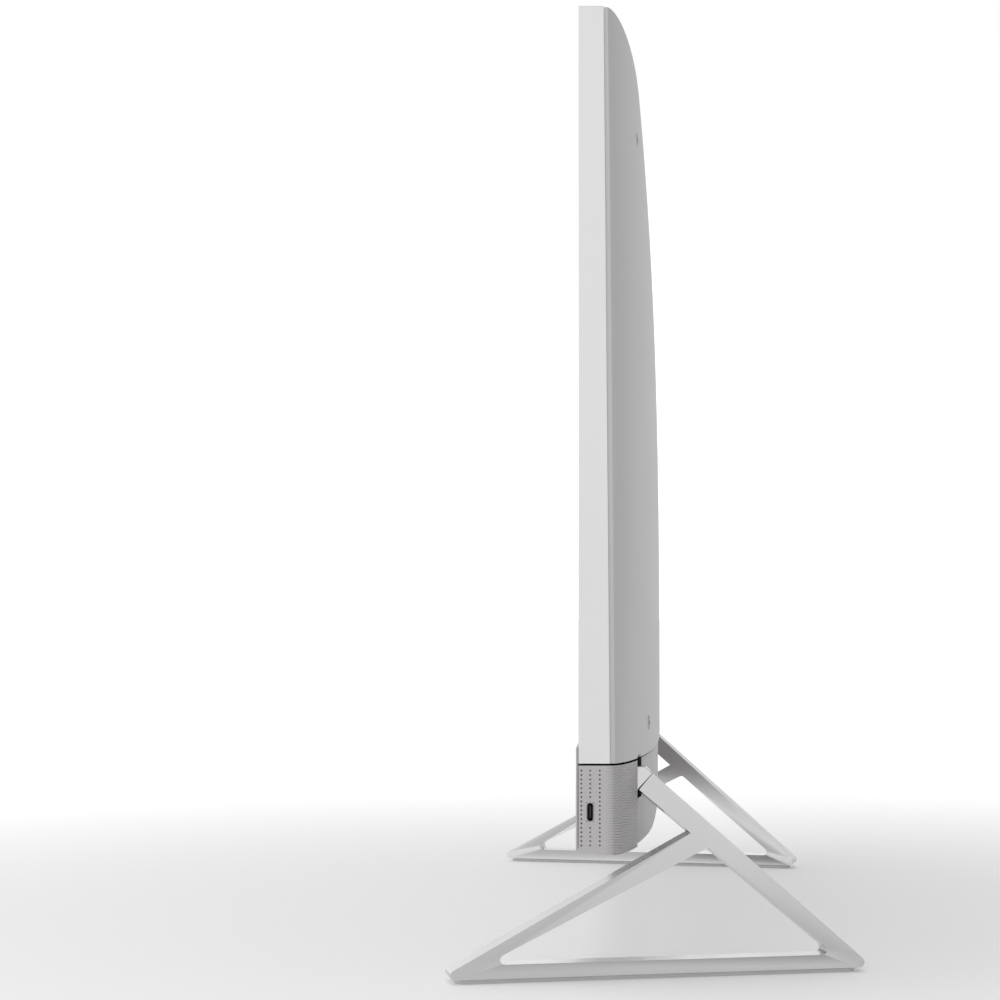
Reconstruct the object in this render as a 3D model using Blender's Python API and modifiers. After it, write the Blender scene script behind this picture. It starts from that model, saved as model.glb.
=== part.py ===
"""All-in-one desktop computer: a wide, thin display body with the computer inside it,
standing on two open triangular metal legs.

Metres, +Z up. X runs across the screen, the screen faces -Y, and the origin is on the
surface that the computer stands on, under the middle of its bounding box.
"""

import math

import bmesh
import bpy
from mathutils import Matrix, Vector

# ---- overall sizes ------------------------------------------------------------------
WIDTH = 0.614  # across the display body
DISPLAY_HEIGHT = 0.3704  # display casing, from the chin seam to the top
CHIN_HEIGHT = 0.0437  # chin below the seam
CHIN_BOTTOM_Z = 0.0664  # chin's underside above the surface
FOOT_LENGTH = 0.2135  # a leg's base bar, tip to tip, along the leg
BODY_SETBACK = 0.0625  # chin's front face behind the tips of the feet

# ---- gaps ---------------------------------------------------------------------------
GAP = 0.0003  # between pieces that touch
SEAM_GAP = 0.0010  # shadow line between the display casing and the chin
SLIDE_GAP = 0.0003  # around a piece that slides
CUT_PAST = 0.0100  # a cutter's reach past what it cuts
CUT_OVER = 0.0010  # the same, where something stands close by
BORE_GAP = 0.00008  # around a shaft, on the radius

# ---- display casing -----------------------------------------------------------------
DISPLAY_STEP = 0.0013  # display's front face behind the chin's front face
SIDE_DEPTH_TOP = 0.0122  # side band's depth at the top
SIDE_DEPTH_BOTTOM = 0.0152  # and at the seam
TOP_CENTRE_DEPTH = 0.0310  # whole depth at the middle of the top edge
CENTRE_DEPTH = 0.0424  # whole depth at the middle of the seam
BELLY_POWER = 3.1  # how soon the back reaches its whole depth below the top
SHOULDER_POWER = 2.2  # the plan curve's flattening towards the middle
SHOULDER_ROOT = 0.57  # the plan curve's steepness at the side
COVER_RIM = 0.0010  # rear cover's step behind the side band
COVER_INSET = 0.0008  # rear cover's edge inside the side band's edge
COVER_WALL = 0.0020
FRAME_WALL = 0.0025
FRAME_CORNER_RADIUS = 0.0040
TOP_LIP = 0.0014  # side band's top above the rear cover's top

# ---- screen -------------------------------------------------------------------------
BEZEL_SINK = 0.0004  # bezel behind the frame's front rim
BEZEL_THICK = 0.0014
BEZEL_LIP = 0.0050
PANEL_THICK = 0.0020
BACKLIGHT_THICK = 0.0046
PLATE_THICK = 0.0012
PLATE_MARGIN = 0.0300  # chassis plate's edge inside the casing's side

# ---- chin ---------------------------------------------------------------------------
CHIN_PLATE_THICK = 0.0010
CHIN_PLATE_OVERLAP = 0.0080  # front plate's reach above the seam
CHIN_FRONT_RISE = 0.0021  # underside's front edge above its middle
CHIN_RISE_DEPTH = 0.0140
CHIN_WALL = 0.0020
CHIN_ROUND_UP = 0.0200  # rear bottom rounding, upwards
CHIN_ROUND_IN = 0.0070  # rear bottom rounding, inwards
GRILLE_WRAP = 0.0410  # ribbed side grille, from the side inwards
REAR_RECESS = 0.0010  # smooth rear chin cover inside the ribbed surface

# ---- tilt hinge ---------------------------------------------------------------------
HINGE_BACK = 0.0200  # hinge axis behind the chin's front face
HINGE_DROP = 0.0099  # hinge axis below the seam
ARM_HALF_HEIGHT = 0.0060
ARM_THICK = 0.0088
ARM_SIDE_GAP = 0.0015
ARM_REACH = 0.0174  # axis to the top of the arm's joint with the leg
ARM_KNEE_DROP = 0.0029  # that point above the axis
SLOT_BELOW = 0.0042  # slot's lower edge below the arm
ARM_RELIEF = 0.0014  # rear cover's edge raised over the arm, clear of it when tilted
PIN_RADIUS = 0.0030
PIN_LENGTH = 0.0300
BRACKET_LENGTH = 0.0200
BRACKET_RADIUS = 0.0046  # half the bracket's height about the pin
BRACKET_EDGE = 0.0008
BRACKET_TAB_INSET = 0.0010
BRACKET_TAB_THICK = 0.0030
BRACKET_SPACE = 0.0020  # bracket to speaker
BOLT_RADIUS = 0.0018
BOLT_LENGTH = 0.0180

# ---- legs ---------------------------------------------------------------------------
LEG_SPLAY = math.radians(12.5)  # legs turn outwards to the front
METAL_BOTTOM_Z = 0.0024
PAD_HEIGHT = 0.0021
PAD_INSET = 0.0020
BASE_BAR_HEIGHT = 0.0068
LEG_THICK_FOOT = 0.0180  # across the leg, at the floor
LEG_THICK_HINGE = 0.0086  # across the leg, at the hinge
REAR_BAR_TOP = 0.0108
REAR_BAR_FOOT = 0.0074
FRONT_BAR_TOP = 0.0106
FRONT_BAR_FOOT = 0.0046
FRONT_BAR_DROP = 0.0350  # front bar meets the rear bar this far below the arm
TIP_RADIUS_REAR = 0.0027
TIP_RADIUS_FRONT = 0.0024
OPENING_RADIUS = 0.0024

# ---- side port ----------------------------------------------------------------------
PORT_BACK = 0.0070  # USB-C port behind the chin's front face
PORT_DROP = 0.0229  # its middle below the seam
PORT_WIDE = 0.0037
PORT_TALL = 0.0094
PORT_SHELL = 0.0005
PORT_DEEP = 0.0075

# ---- rear sockets, across x height --------------------------------------------------
SOCKET_DEEP = 0.0140
SOCKET_WALL = 0.0008
SOCKET_SPACE = 0.0045
USB_A_SIZE = (0.0145, 0.0072)
HDMI_SIZE = (0.0165, 0.0072)
ETHERNET_SIZE = (0.0162, 0.0135)
ROUND_SOCKET = 0.0096
INLET_BORE = 0.0028
AUDIO_BORE = 0.0018
SOCKET_MARGIN = 0.0004  # cover's cut-out around a socket
SOCKET_SINK = 0.0005  # socket's mouth inside the cover's surface

# ---- computer -----------------------------------------------------------------------
BOARD_SIZE = (0.2000, 0.1500)
BOARD_THICK = 0.0016
BOARD_STANDOFF = 0.0030
BOARD_ABOVE_SEAM = 0.0150
STACK_GAP = 0.0060  # board to what is above it
OFF_PLATE = 0.0020  # fan and drives behind the chassis plate
CARD_ABOVE_EDGE = 0.0080
CARD_FROM_EDGE = 0.0050
CARD_SPACE = 0.0030
CARD_OFF_BOARD = 0.0010
CELL_FROM_CARD = 0.0200
FAN_SIZE = 0.0800
FAN_DEEP = 0.0120
FAN_WALL = 0.0012
ROTOR_CLEAR = 0.0020  # around the blades' tips
ROTOR_RADIUS = 0.0330
HUB_RADIUS = 0.0130
BLADES = 11
BLADE_THICK = 0.0010
SPINDLE_RADIUS = 0.0020
FIN_STACK_HEIGHT = 0.0120
FIN_PITCH = 0.0040
FIN_THICK = 0.0008
FIN_SHARE = 0.75  # fins' depth, as a share of the fan's
PIPE_RADIUS = 0.0026
CHIP_SIDE = 0.0380
CHIP_THICK = 0.0030
COOLER_SIDE = 0.0480
COOLER_THICK = 0.0040
DRIVE_SIZE = (0.1000, 0.0700, 0.0070)
TRAY_THICK = 0.0010
MEMORY_SIZE = (0.0676, 0.0300, 0.0036)
STICK_SIZE = (0.0800, 0.0220, 0.0030)
WIRELESS_SIZE = (0.0220, 0.0300, 0.0026)
CELL_RADIUS = 0.0100
CELL_THICK = 0.0032
SPEAKER_SIZE = (0.1080, 0.0180, 0.0240)
SPEAKER_EDGE = 0.0020
ANTENNA_SIZE = (0.0400, 0.0008, 0.0100)
ANTENNA_FROM_EDGE = 0.0100

# ---- camera -------------------------------------------------------------------------
CAMERA_SIZE = (0.0560, 0.0080, 0.0340)
CAMERA_BACK = 0.0040  # camera's front face behind the side band
CAMERA_TRAVEL = 0.0220
CAMERA_EDGE = 0.0006
LENS_RADIUS = 0.0036
LENS_THICK = 0.0010
LENS_DROP = 0.0100
DOCK_WALL = 0.0015

# ---- power button -------------------------------------------------------------------
BUTTON_SIZE = (0.0120, 0.0050)
BUTTON_SIDE = 0.0580  # its middle from the side
BUTTON_BACK = 0.0190  # its middle behind the chin's front face
BUTTON_TRAVEL = 0.0010
BUTTON_PROUD = 0.0006
BUTTON_STEM = 0.0050
BUTTON_FLANGE = 0.0012  # its width and thickness
BUTTON_EDGE = 0.0003

# ---- rear cover details -------------------------------------------------------------
VENT_COUNT = 16
VENT_PITCH = 0.0090
VENT_WIDE = 0.0030
VENT_TALL = 0.0260
VENT_DROP = 0.0300
VENT_CLEAR = 0.0050  # cutters start this far behind the side band
SCREW_RADIUS = 0.0025
SCREW_LENGTH = 0.0080
SCREW_SIDE = 0.0900
SCREW_UP = 0.0160

# ---- places worked out from the sizes -----------------------------------------------
HALF = WIDTH / 2
SEAM_Z = CHIN_BOTTOM_Z + CHIN_HEIGHT
DISPLAY_BOTTOM_Z = SEAM_Z + SEAM_GAP / 2
CHIN_TOP_Z = SEAM_Z - SEAM_GAP / 2
TOP_Z = SEAM_Z + DISPLAY_HEIGHT
FOOT_DEPTH = FOOT_LENGTH * math.cos(LEG_SPLAY) + LEG_THICK_FOOT * math.sin(LEG_SPLAY)
TIP_FRONT_Y = -FOOT_DEPTH / 2 + LEG_THICK_FOOT * math.sin(LEG_SPLAY)
CHIN_FRONT_Y = TIP_FRONT_Y + BODY_SETBACK
DISPLAY_FRONT_Y = CHIN_FRONT_Y + DISPLAY_STEP
PANEL_FRONT_Y = DISPLAY_FRONT_Y + BEZEL_SINK + BEZEL_THICK + GAP
BACKLIGHT_FRONT_Y = PANEL_FRONT_Y + PANEL_THICK + GAP
PLATE_FRONT_Y = BACKLIGHT_FRONT_Y + BACKLIGHT_THICK + GAP
PLATE_BACK_Y = PLATE_FRONT_Y + PLATE_THICK
BOARD_FRONT_Y = PLATE_BACK_Y + BOARD_STANDOFF
BOARD_BACK_Y = BOARD_FRONT_Y + BOARD_THICK
BOARD_BOTTOM_Z = SEAM_Z + BOARD_ABOVE_SEAM
BOARD_TOP_Z = BOARD_BOTTOM_Z + BOARD_SIZE[1]
HINGE_Y = CHIN_FRONT_Y + HINGE_BACK
HINGE_Z = SEAM_Z - HINGE_DROP
GRILLE_EDGE_X = HALF - GRILLE_WRAP
ARM_OUTER_X = GRILLE_EDGE_X - ARM_SIDE_GAP
ARM_INNER_X = ARM_OUTER_X - ARM_THICK
SLOT_INNER_X = ARM_INNER_X - ARM_SIDE_GAP

PARTS = "all_in_one_pc"
CUTTERS = "cutters"


# ---- scene and helpers ----------------------------------------------------------------
def clear_scene():
    for thing in list(bpy.data.objects):
        bpy.data.objects.remove(thing, do_unlink=True)
    for name in (PARTS, CUTTERS):
        group = bpy.data.collections.new(name)
        bpy.context.scene.collection.children.link(group)
        GROUPS[name] = group


GROUPS = {}
FINISHES = {}


def finish(name, color, roughness, metallic=0.0):
    """A plain Principled BSDF, made once for each name."""
    if name not in FINISHES:
        made = bpy.data.materials.new(name)
        made.use_nodes = True
        shader = made.node_tree.nodes["Principled BSDF"]
        shader.inputs["Base Color"].default_value = (*color, 1.0)
        shader.inputs["Roughness"].default_value = roughness
        shader.inputs["Metallic"].default_value = metallic
        made.diffuse_color = (*color, 1.0)
        FINISHES[name] = made
    return FINISHES[name]


def white_shell():
    return finish("white_shell", (0.80, 0.79, 0.79), 0.42)


def grey_shell():
    return finish("grey_shell", (0.50, 0.49, 0.50), 0.50)


def satin_metal():
    return finish("satin_metal", (0.78, 0.77, 0.77), 0.30, 1.0)


def steel():
    return finish("steel", (0.56, 0.56, 0.58), 0.35, 1.0)


def dark_plastic():
    return finish("dark_plastic", (0.03, 0.03, 0.03), 0.50)


def circuit():
    return finish("circuit", (0.02, 0.10, 0.06), 0.55)


def place(name, mesh, material, group=PARTS):
    """An object of its own for a mesh, with one material."""
    made = bpy.data.objects.new(name, mesh)
    mesh.materials.clear()
    if material:
        mesh.materials.append(material)
    GROUPS[group].objects.link(made)
    return made


def from_bmesh(name, shape, material, group=PARTS):
    bmesh.ops.recalc_face_normals(shape, faces=shape.faces[:])
    mesh = bpy.data.meshes.new(name)
    shape.to_mesh(mesh)
    shape.free()
    return place(name, mesh, material, group)


def box(name, low, high, material=None, edge=0.0, group=PARTS):
    """A block between two corners, with rounded edges if edge is given."""
    shape = bmesh.new()
    bmesh.ops.create_cube(shape, size=1.0)
    middle = (Vector(low) + Vector(high)) / 2
    size = Vector(high) - Vector(low)
    for vert in shape.verts:
        vert.co = Vector(a * b for a, b in zip(vert.co, size))
    if edge:
        bmesh.ops.bevel(shape, geom=shape.edges[:], offset=edge, segments=2,
                        profile=0.5, affect="EDGES")
    made = from_bmesh(name, shape, material, group)
    made.location = middle
    return made


AXIS_TURN = {
    "X": Matrix(((0, 0, 1), (1, 0, 0), (0, 1, 0))).to_4x4(),
    "Y": Matrix(((1, 0, 0), (0, 0, -1), (0, 1, 0))).to_4x4(),
    "Z": Matrix.Identity(4),
}


def rod(name, start, axis, radius, length, material=None, sides=32, group=PARTS):
    """A cylinder from its start, along +X, -Y or +Z as AXIS_TURN lays its height."""
    shape = bmesh.new()
    bmesh.ops.create_cone(shape, cap_ends=True, segments=sides, radius1=radius,
                          radius2=radius, depth=length)
    bmesh.ops.translate(shape, verts=shape.verts[:], vec=(0, 0, length / 2))
    bmesh.ops.transform(shape, matrix=AXIS_TURN[axis], verts=shape.verts[:])
    made = from_bmesh(name, shape, material, group)
    made.location = start
    return made


def rounded(corners, steps=4):
    """Outline points, each corner (a, b, radius) turned into an arc."""
    points = []
    count = len(corners)
    for index, (a, b, radius) in enumerate(corners):
        here = Vector((a, b))
        if not radius:
            points.append(here)
            continue
        before = Vector(corners[index - 1][:2]) - here
        after = Vector(corners[(index + 1) % count][:2]) - here
        half_angle = before.angle(after) / 2
        inwards = (before.normalized() + after.normalized()).normalized()
        centre = here + inwards * (radius / math.sin(half_angle))
        run = radius / math.tan(half_angle)
        first = here + before.normalized() * run - centre
        turn = first.angle_signed(here + after.normalized() * run - centre)
        for step in range(steps + 1):
            angle = -turn * step / steps
            spoke = Matrix.Rotation(angle, 2) @ first
            points.append(centre + spoke)
    return points


def prism(name, outlines, axis, low, high, material=None, group=PARTS):
    """Flat outlines filled and drawn out along an axis; a second outline is a hole."""
    curve = bpy.data.curves.new(name, "CURVE")
    curve.dimensions = "2D"
    curve.fill_mode = "BOTH"
    curve.extrude = (high - low) / 2
    for outline in outlines:
        spline = curve.splines.new("POLY")
        spline.points.add(len(outline) - 1)
        for point, place_at in zip(spline.points, outline):
            point.co = (place_at[0], place_at[1], 0.0, 1.0)
        spline.use_cyclic_u = True
    drawn = bpy.data.objects.new(name + "_outline", curve)
    bpy.context.scene.collection.objects.link(drawn)
    bpy.context.view_layer.update()
    seen = drawn.evaluated_get(bpy.context.evaluated_depsgraph_get())
    mesh = bpy.data.meshes.new_from_object(seen)
    shape = bmesh.new()
    shape.from_mesh(mesh)
    bmesh.ops.remove_doubles(shape, verts=shape.verts[:], dist=1e-6)
    middle = (low + high) / 2
    bmesh.ops.translate(shape, verts=shape.verts[:],
                        vec=(0, 0, -middle if axis == "Y" else middle))
    bmesh.ops.transform(shape, matrix=AXIS_TURN[axis], verts=shape.verts[:])
    bpy.data.objects.remove(drawn, do_unlink=True)
    return from_bmesh(name, shape, material, group)


def cutter(made):
    """Hide a guide solid and draw it as wire."""
    made.hide_render = True
    made.display_type = "WIRE"
    return made


def combine(target, other, operation="DIFFERENCE"):
    """A live exact Boolean with one cutter."""
    step = target.modifiers.new(other.name, "BOOLEAN")
    step.operation = operation
    step.solver = "EXACT"
    step.object = cutter(other)
    return target


def cut_box(target, name, low, high):
    return combine(target, box(target.name + "_" + name, low, high, group=CUTTERS))


def cut_rod(target, name, start, axis, radius, length, sides=32):
    made = rod(target.name + "_" + name, start, axis, radius, length, None, sides, CUTTERS)
    return combine(target, made)


def mirrored(target, name):
    """The other side's copy: the same evaluated shape, turned over at the middle."""
    bpy.context.view_layer.update()
    seen = target.evaluated_get(bpy.context.evaluated_depsgraph_get())
    mesh = bpy.data.meshes.new_from_object(seen)
    shape = bmesh.new()
    shape.from_mesh(mesh)
    bmesh.ops.transform(shape, matrix=Matrix.Scale(-1, 4, (1, 0, 0)) @ target.matrix_world,
                        verts=shape.verts[:])
    return from_bmesh(name, shape, target.data.materials[0])


# ---- shapes shared by the covers --------------------------------------------------------
def side_depth(z):
    """Side band's depth behind the display's front face."""
    share = (TOP_Z - z) / DISPLAY_HEIGHT
    return SIDE_DEPTH_TOP + (SIDE_DEPTH_BOTTOM - SIDE_DEPTH_TOP) * share


def back_depth(x, z):
    """Back surface's depth behind the display's front face."""
    share = min(max((TOP_Z - z) / DISPLAY_HEIGHT, 0.0), 1.0)
    side = side_depth(TOP_Z - share * DISPLAY_HEIGHT) + COVER_RIM
    belly = 1 - (1 - share) ** BELLY_POWER
    centre = TOP_CENTRE_DEPTH + (CENTRE_DEPTH - TOP_CENTRE_DEPTH) * belly
    inwards = min(max(1 - abs(x) / HALF, 0.0), 1.0)
    rise = (1 - (1 - inwards) ** SHOULDER_POWER) ** SHOULDER_ROOT
    return side + (centre - side) * rise


def cover_solid(name, inset, top, bottom, front, material=None, group=PARTS):
    """A closed body under the curved back: a grid laid on it, drawn forward and capped."""
    shape = bmesh.new()
    bmesh.ops.create_grid(shape, x_segments=26, y_segments=9, size=1.0)
    half = HALF - COVER_INSET - inset
    for vert in shape.verts:
        x = half * math.sin(vert.co.x * math.pi / 2)
        z = top - (top - bottom) * ((1 - vert.co.y) / 2) ** 1.4
        vert.co = (x, DISPLAY_FRONT_Y + back_depth(x, z) - inset, z)
    rim = [edge for edge in shape.edges if edge.is_boundary]
    drawn = bmesh.ops.extrude_edge_only(shape, edges=rim)["geom"]
    for vert in drawn:
        if isinstance(vert, bmesh.types.BMVert):
            vert.co.y = DISPLAY_FRONT_Y + side_depth(vert.co.z) + front
    front_rim = [edge for edge in drawn if isinstance(edge, bmesh.types.BMEdge)]
    bmesh.ops.contextual_create(shape, geom=front_rim)
    return from_bmesh(name, shape, material, group)


def chin_plan(inset, front):
    """The chin's outline from above: straight front and sides, and the curved back."""
    half = HALF - inset
    points = [Vector((-half, front)), Vector((half, front))]
    steps = 26
    for step in range(steps + 1):
        x = half * math.sin(math.pi * (0.5 - step / steps))
        depth = back_depth(x * HALF / half, DISPLAY_BOTTOM_Z)
        points.append(Vector((x, DISPLAY_FRONT_Y + depth - inset)))
    return points


def chin_profile(inset, top):
    """The chin from the side: sloped front of the underside and rounded rear bottom."""
    bottom = CHIN_BOTTOM_Z + inset
    back = DISPLAY_FRONT_Y + CENTRE_DEPTH + COVER_RIM - inset
    points = [
        Vector((CHIN_FRONT_Y - CUT_PAST, top)),
        Vector((CHIN_FRONT_Y - CUT_PAST, bottom + CHIN_FRONT_RISE)),
        Vector((CHIN_FRONT_Y, bottom + CHIN_FRONT_RISE)),
        Vector((CHIN_FRONT_Y + CHIN_RISE_DEPTH, bottom)),
    ]
    steps = 6
    for step in range(steps + 1):
        angle = math.pi / 2 * step / steps
        points.append(Vector((
            back - CHIN_ROUND_IN * (1 - math.sin(angle)),
            bottom + CHIN_ROUND_UP * (1 - math.cos(angle)),
        )))
    points.append(Vector((back, top)))
    return points


def chin_block(name, inset, front, top, group=CUTTERS):
    """A solid chin, its wall moved in by inset: the plan drawn up, cut to the profile."""
    low = CHIN_BOTTOM_Z + inset
    block = prism(name, [chin_plan(inset, front)], "Z", low, top, grey_shell(), group)
    profile = prism(name + "_profile", [chin_profile(inset, top + CUT_PAST)], "X",
                    -HALF - CUT_PAST, HALF + CUT_PAST, None, CUTTERS)
    return combine(block, profile, "INTERSECT")


# ---- display casing -----------------------------------------------------------------------
def make_middle_frame():
    """The light side band: a ring whose depth grows towards the chin."""
    outer = [(-HALF, DISPLAY_BOTTOM_Z, 0.0), (HALF, DISPLAY_BOTTOM_Z, 0.0),
             (HALF, TOP_Z, FRAME_CORNER_RADIUS), (-HALF, TOP_Z, FRAME_CORNER_RADIUS)]
    ring = prism("middle_frame", [rounded(outer)], "Y", DISPLAY_FRONT_Y,
                 DISPLAY_FRONT_Y + SIDE_DEPTH_TOP, white_shell())
    middle = DISPLAY_FRONT_Y + SIDE_DEPTH_TOP / 2
    for vert in ring.data.vertices:
        if vert.co.y > middle:
            vert.co.y = DISPLAY_FRONT_Y + side_depth(vert.co.z)
    softened = ring.modifiers.new("back_edge", "BEVEL")
    softened.width = FRAME_WALL / 3
    softened.segments = 2
    softened.limit_method = "ANGLE"
    inner = HALF - FRAME_WALL
    deep = DISPLAY_FRONT_Y + 5 * CUT_PAST
    cut_box(ring, "opening", (-inner, DISPLAY_FRONT_Y - CUT_PAST, DISPLAY_BOTTOM_Z + FRAME_WALL),
            (inner, deep, TOP_Z - FRAME_WALL))
    cut_box(ring, "throat", (-inner, PLATE_FRONT_Y - GAP, DISPLAY_BOTTOM_Z - CUT_PAST),
            (inner, deep, DISPLAY_BOTTOM_Z + 2 * FRAME_WALL))
    return ring


def screen_box(name, front, thick, margin, material):
    """A flat layer of the screen, inside the frame's opening."""
    side = HALF - FRAME_WALL - margin
    low = (-side, front, DISPLAY_BOTTOM_Z + FRAME_WALL + margin)
    high = (side, front + thick, TOP_Z - FRAME_WALL - margin)
    return box(name, low, high, material)


def make_screen():
    front = DISPLAY_FRONT_Y + BEZEL_SINK
    bezel = screen_box("front_bezel", front, BEZEL_THICK, GAP, dark_plastic())
    lip = HALF - FRAME_WALL - BEZEL_LIP
    chin_reach = SEAM_Z + CHIN_PLATE_OVERLAP
    cut_box(bezel, "window", (-lip, front - CUT_PAST, chin_reach + BEZEL_LIP),
            (lip, front + CUT_PAST, TOP_Z - FRAME_WALL - BEZEL_LIP))
    glass = finish("screen_glass", (0.01, 0.01, 0.012), 0.15)
    panel = screen_box("lcd_panel", PANEL_FRONT_Y, PANEL_THICK, 2 * GAP, glass)
    sheet = finish("light_guide", (0.85, 0.85, 0.85), 0.5)
    light = screen_box("backlight_unit", BACKLIGHT_FRONT_Y, BACKLIGHT_THICK, 2 * GAP, sheet)
    return [bezel, panel, light]


def make_chassis_plate():
    """Steel sheet behind the screen that everything inside is fixed to."""
    side = HALF - PLATE_MARGIN
    plate = box("chassis_plate", (-side, PLATE_FRONT_Y, CHIN_BOTTOM_Z + PLATE_MARGIN / 2),
                (side, PLATE_BACK_Y, TOP_Z - FRAME_WALL - PLATE_MARGIN / 2), steel())
    for sign in (-1, 1):
        reach = sorted((sign * (speaker_span()[0] - GAP), sign * (HALF + CUT_PAST)))
        name = "corner_right" if sign > 0 else "corner_left"
        cut_box(plate, name, (reach[0], PLATE_FRONT_Y - CUT_PAST, 0.0),
                (reach[1], PLATE_BACK_Y + CUT_PAST, SEAM_Z))
    return plate


def make_rear_cover():
    top = TOP_Z - TOP_LIP
    cover = cover_solid("rear_cover", 0.0, top, DISPLAY_BOTTOM_Z, GAP, white_shell())
    for sign, side in ((-1, "left"), (1, "right")):
        reach = sorted((sign * (ARM_INNER_X - CUT_OVER), sign * (ARM_OUTER_X + CUT_OVER)))
        cut_box(cover, "arm_relief_" + side,
                (reach[0], PLATE_BACK_Y, DISPLAY_BOTTOM_Z - CUT_PAST),
                (reach[1], HINGE_Y + 10 * CUT_PAST, DISPLAY_BOTTOM_Z + ARM_RELIEF))
    inside = cover_solid("rear_cover_inside", COVER_WALL, top - COVER_WALL,
                         DISPLAY_BOTTOM_Z - CUT_PAST, -CUT_PAST, None, CUTTERS)
    combine(cover, inside)
    slot_y = camera_front()
    half = CAMERA_SIZE[0] / 2 + SLIDE_GAP
    cut_box(cover, "camera_slot", (-half, slot_y - SLIDE_GAP, top - 2 * CUT_PAST),
            (half, slot_y + CAMERA_SIZE[1] + SLIDE_GAP, top + CUT_PAST))
    first = -(VENT_COUNT - 1) / 2 * VENT_PITCH
    for number in range(VENT_COUNT):
        x = first + number * VENT_PITCH
        cut_box(cover, f"vent_{number + 1:02d}",
                (x - VENT_WIDE / 2, DISPLAY_FRONT_Y + SIDE_DEPTH_BOTTOM + VENT_CLEAR,
                 top - VENT_DROP - VENT_TALL),
                (x + VENT_WIDE / 2, DISPLAY_FRONT_Y + CENTRE_DEPTH + CUT_PAST, top - VENT_DROP))
    return cover


# ---- chin -----------------------------------------------------------------------------------
def make_chin_front_cover():
    """Thin front plate over the chin and the screen's lower edge."""
    plate = box("chin_front_cover", (-HALF, CHIN_FRONT_Y, CHIN_BOTTOM_Z + CHIN_FRONT_RISE),
                (HALF, CHIN_FRONT_Y + CHIN_PLATE_THICK, SEAM_Z + CHIN_PLATE_OVERLAP),
                grey_shell(), CHIN_PLATE_THICK / 4)
    return plate


def chin_front():
    return CHIN_FRONT_Y + CHIN_PLATE_THICK + GAP


def make_side_grille():
    """Right side grille: wraps the chin's side and rear corner, ribbed and perforated."""
    shell = chin_block("side_grille_right", 0.0, chin_front(), CHIN_TOP_Z, PARTS)
    hollow = chin_block("side_grille_right_hollow", CHIN_WALL, chin_front() - CUT_PAST,
                        CHIN_TOP_Z + CUT_PAST)
    combine(shell, hollow)
    cut_box(shell, "rest", (-HALF - CUT_PAST, CHIN_FRONT_Y - CUT_PAST, 0.0),
            (GRILLE_EDGE_X + GAP, CHIN_FRONT_Y + 10 * CUT_PAST, SEAM_Z + CUT_PAST))
    return shell


def cut_side_port(shell):
    y = CHIN_FRONT_Y + PORT_BACK
    z = SEAM_Z - PORT_DROP
    cut_box(shell, "port", (HALF - 2 * CHIN_WALL, y - PORT_WIDE / 2, z - PORT_TALL / 2),
            (HALF + CUT_PAST, y + PORT_WIDE / 2, z + PORT_TALL / 2))


def make_chin_rear_cover():
    """Smooth rear of the chin and its underside, recessed a little between the grilles."""
    shell = chin_block("chin_rear_cover", REAR_RECESS, chin_front(), CHIN_TOP_Z, PARTS)
    hollow = chin_block("chin_rear_cover_hollow", REAR_RECESS + CHIN_WALL,
                        chin_front() - CUT_PAST, CHIN_TOP_Z + CUT_PAST)
    combine(shell, hollow)
    for sign, side in ((-1, "left"), (1, "right")):
        ends = sorted((sign * (GRILLE_EDGE_X - GAP), sign * (HALF + CUT_PAST)))
        cut_box(shell, "end_" + side, (ends[0], CHIN_FRONT_Y - CUT_PAST, 0.0),
                (ends[1], CHIN_FRONT_Y + 10 * CUT_PAST, SEAM_Z + CUT_PAST))
        slot = sorted((sign * SLOT_INNER_X, sign * (HALF + CUT_PAST)))
        cut_box(shell, "arm_slot_" + side,
                (slot[0], HINGE_Y, HINGE_Z - ARM_HALF_HEIGHT - SLOT_BELOW),
                (slot[1], CHIN_FRONT_Y + 10 * CUT_PAST, SEAM_Z + CUT_PAST))
    x, y = button_place()
    cut_box(shell, "button_hole",
            (x - BUTTON_SIZE[0] / 2 - SLIDE_GAP, y - BUTTON_SIZE[1] / 2 - SLIDE_GAP, 0.0),
            (x + BUTTON_SIZE[0] / 2 + SLIDE_GAP, y + BUTTON_SIZE[1] / 2 + SLIDE_GAP,
             CHIN_BOTTOM_Z + CUT_PAST))
    return shell


# ---- sockets --------------------------------------------------------------------------------
def socket_row():
    """Name, size and left edge of each rear socket, laid side by side about the middle."""
    kinds = [("power_inlet", (ROUND_SOCKET, ROUND_SOCKET)), ("hdmi_socket", HDMI_SIZE),
             ("ethernet_socket", ETHERNET_SIZE), ("usb_a_socket_inner", USB_A_SIZE),
             ("usb_a_socket_outer", USB_A_SIZE), ("audio_socket", (ROUND_SOCKET, ROUND_SOCKET))]
    length = sum(size[0] for _, size in kinds) + SOCKET_SPACE * (len(kinds) - 1)
    left = -length / 2
    row = []
    for name, size in kinds:
        row.append((name, size, left))
        left += size[0] + SOCKET_SPACE
    return row


def socket_back():
    """Where the sockets end: flush with the chin's rear wall at the row's ends."""
    last = socket_row()[-1]
    outer = last[2] + last[1][0]
    return DISPLAY_FRONT_Y + back_depth(outer, DISPLAY_BOTTOM_Z) - REAR_RECESS - SOCKET_SINK


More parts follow.
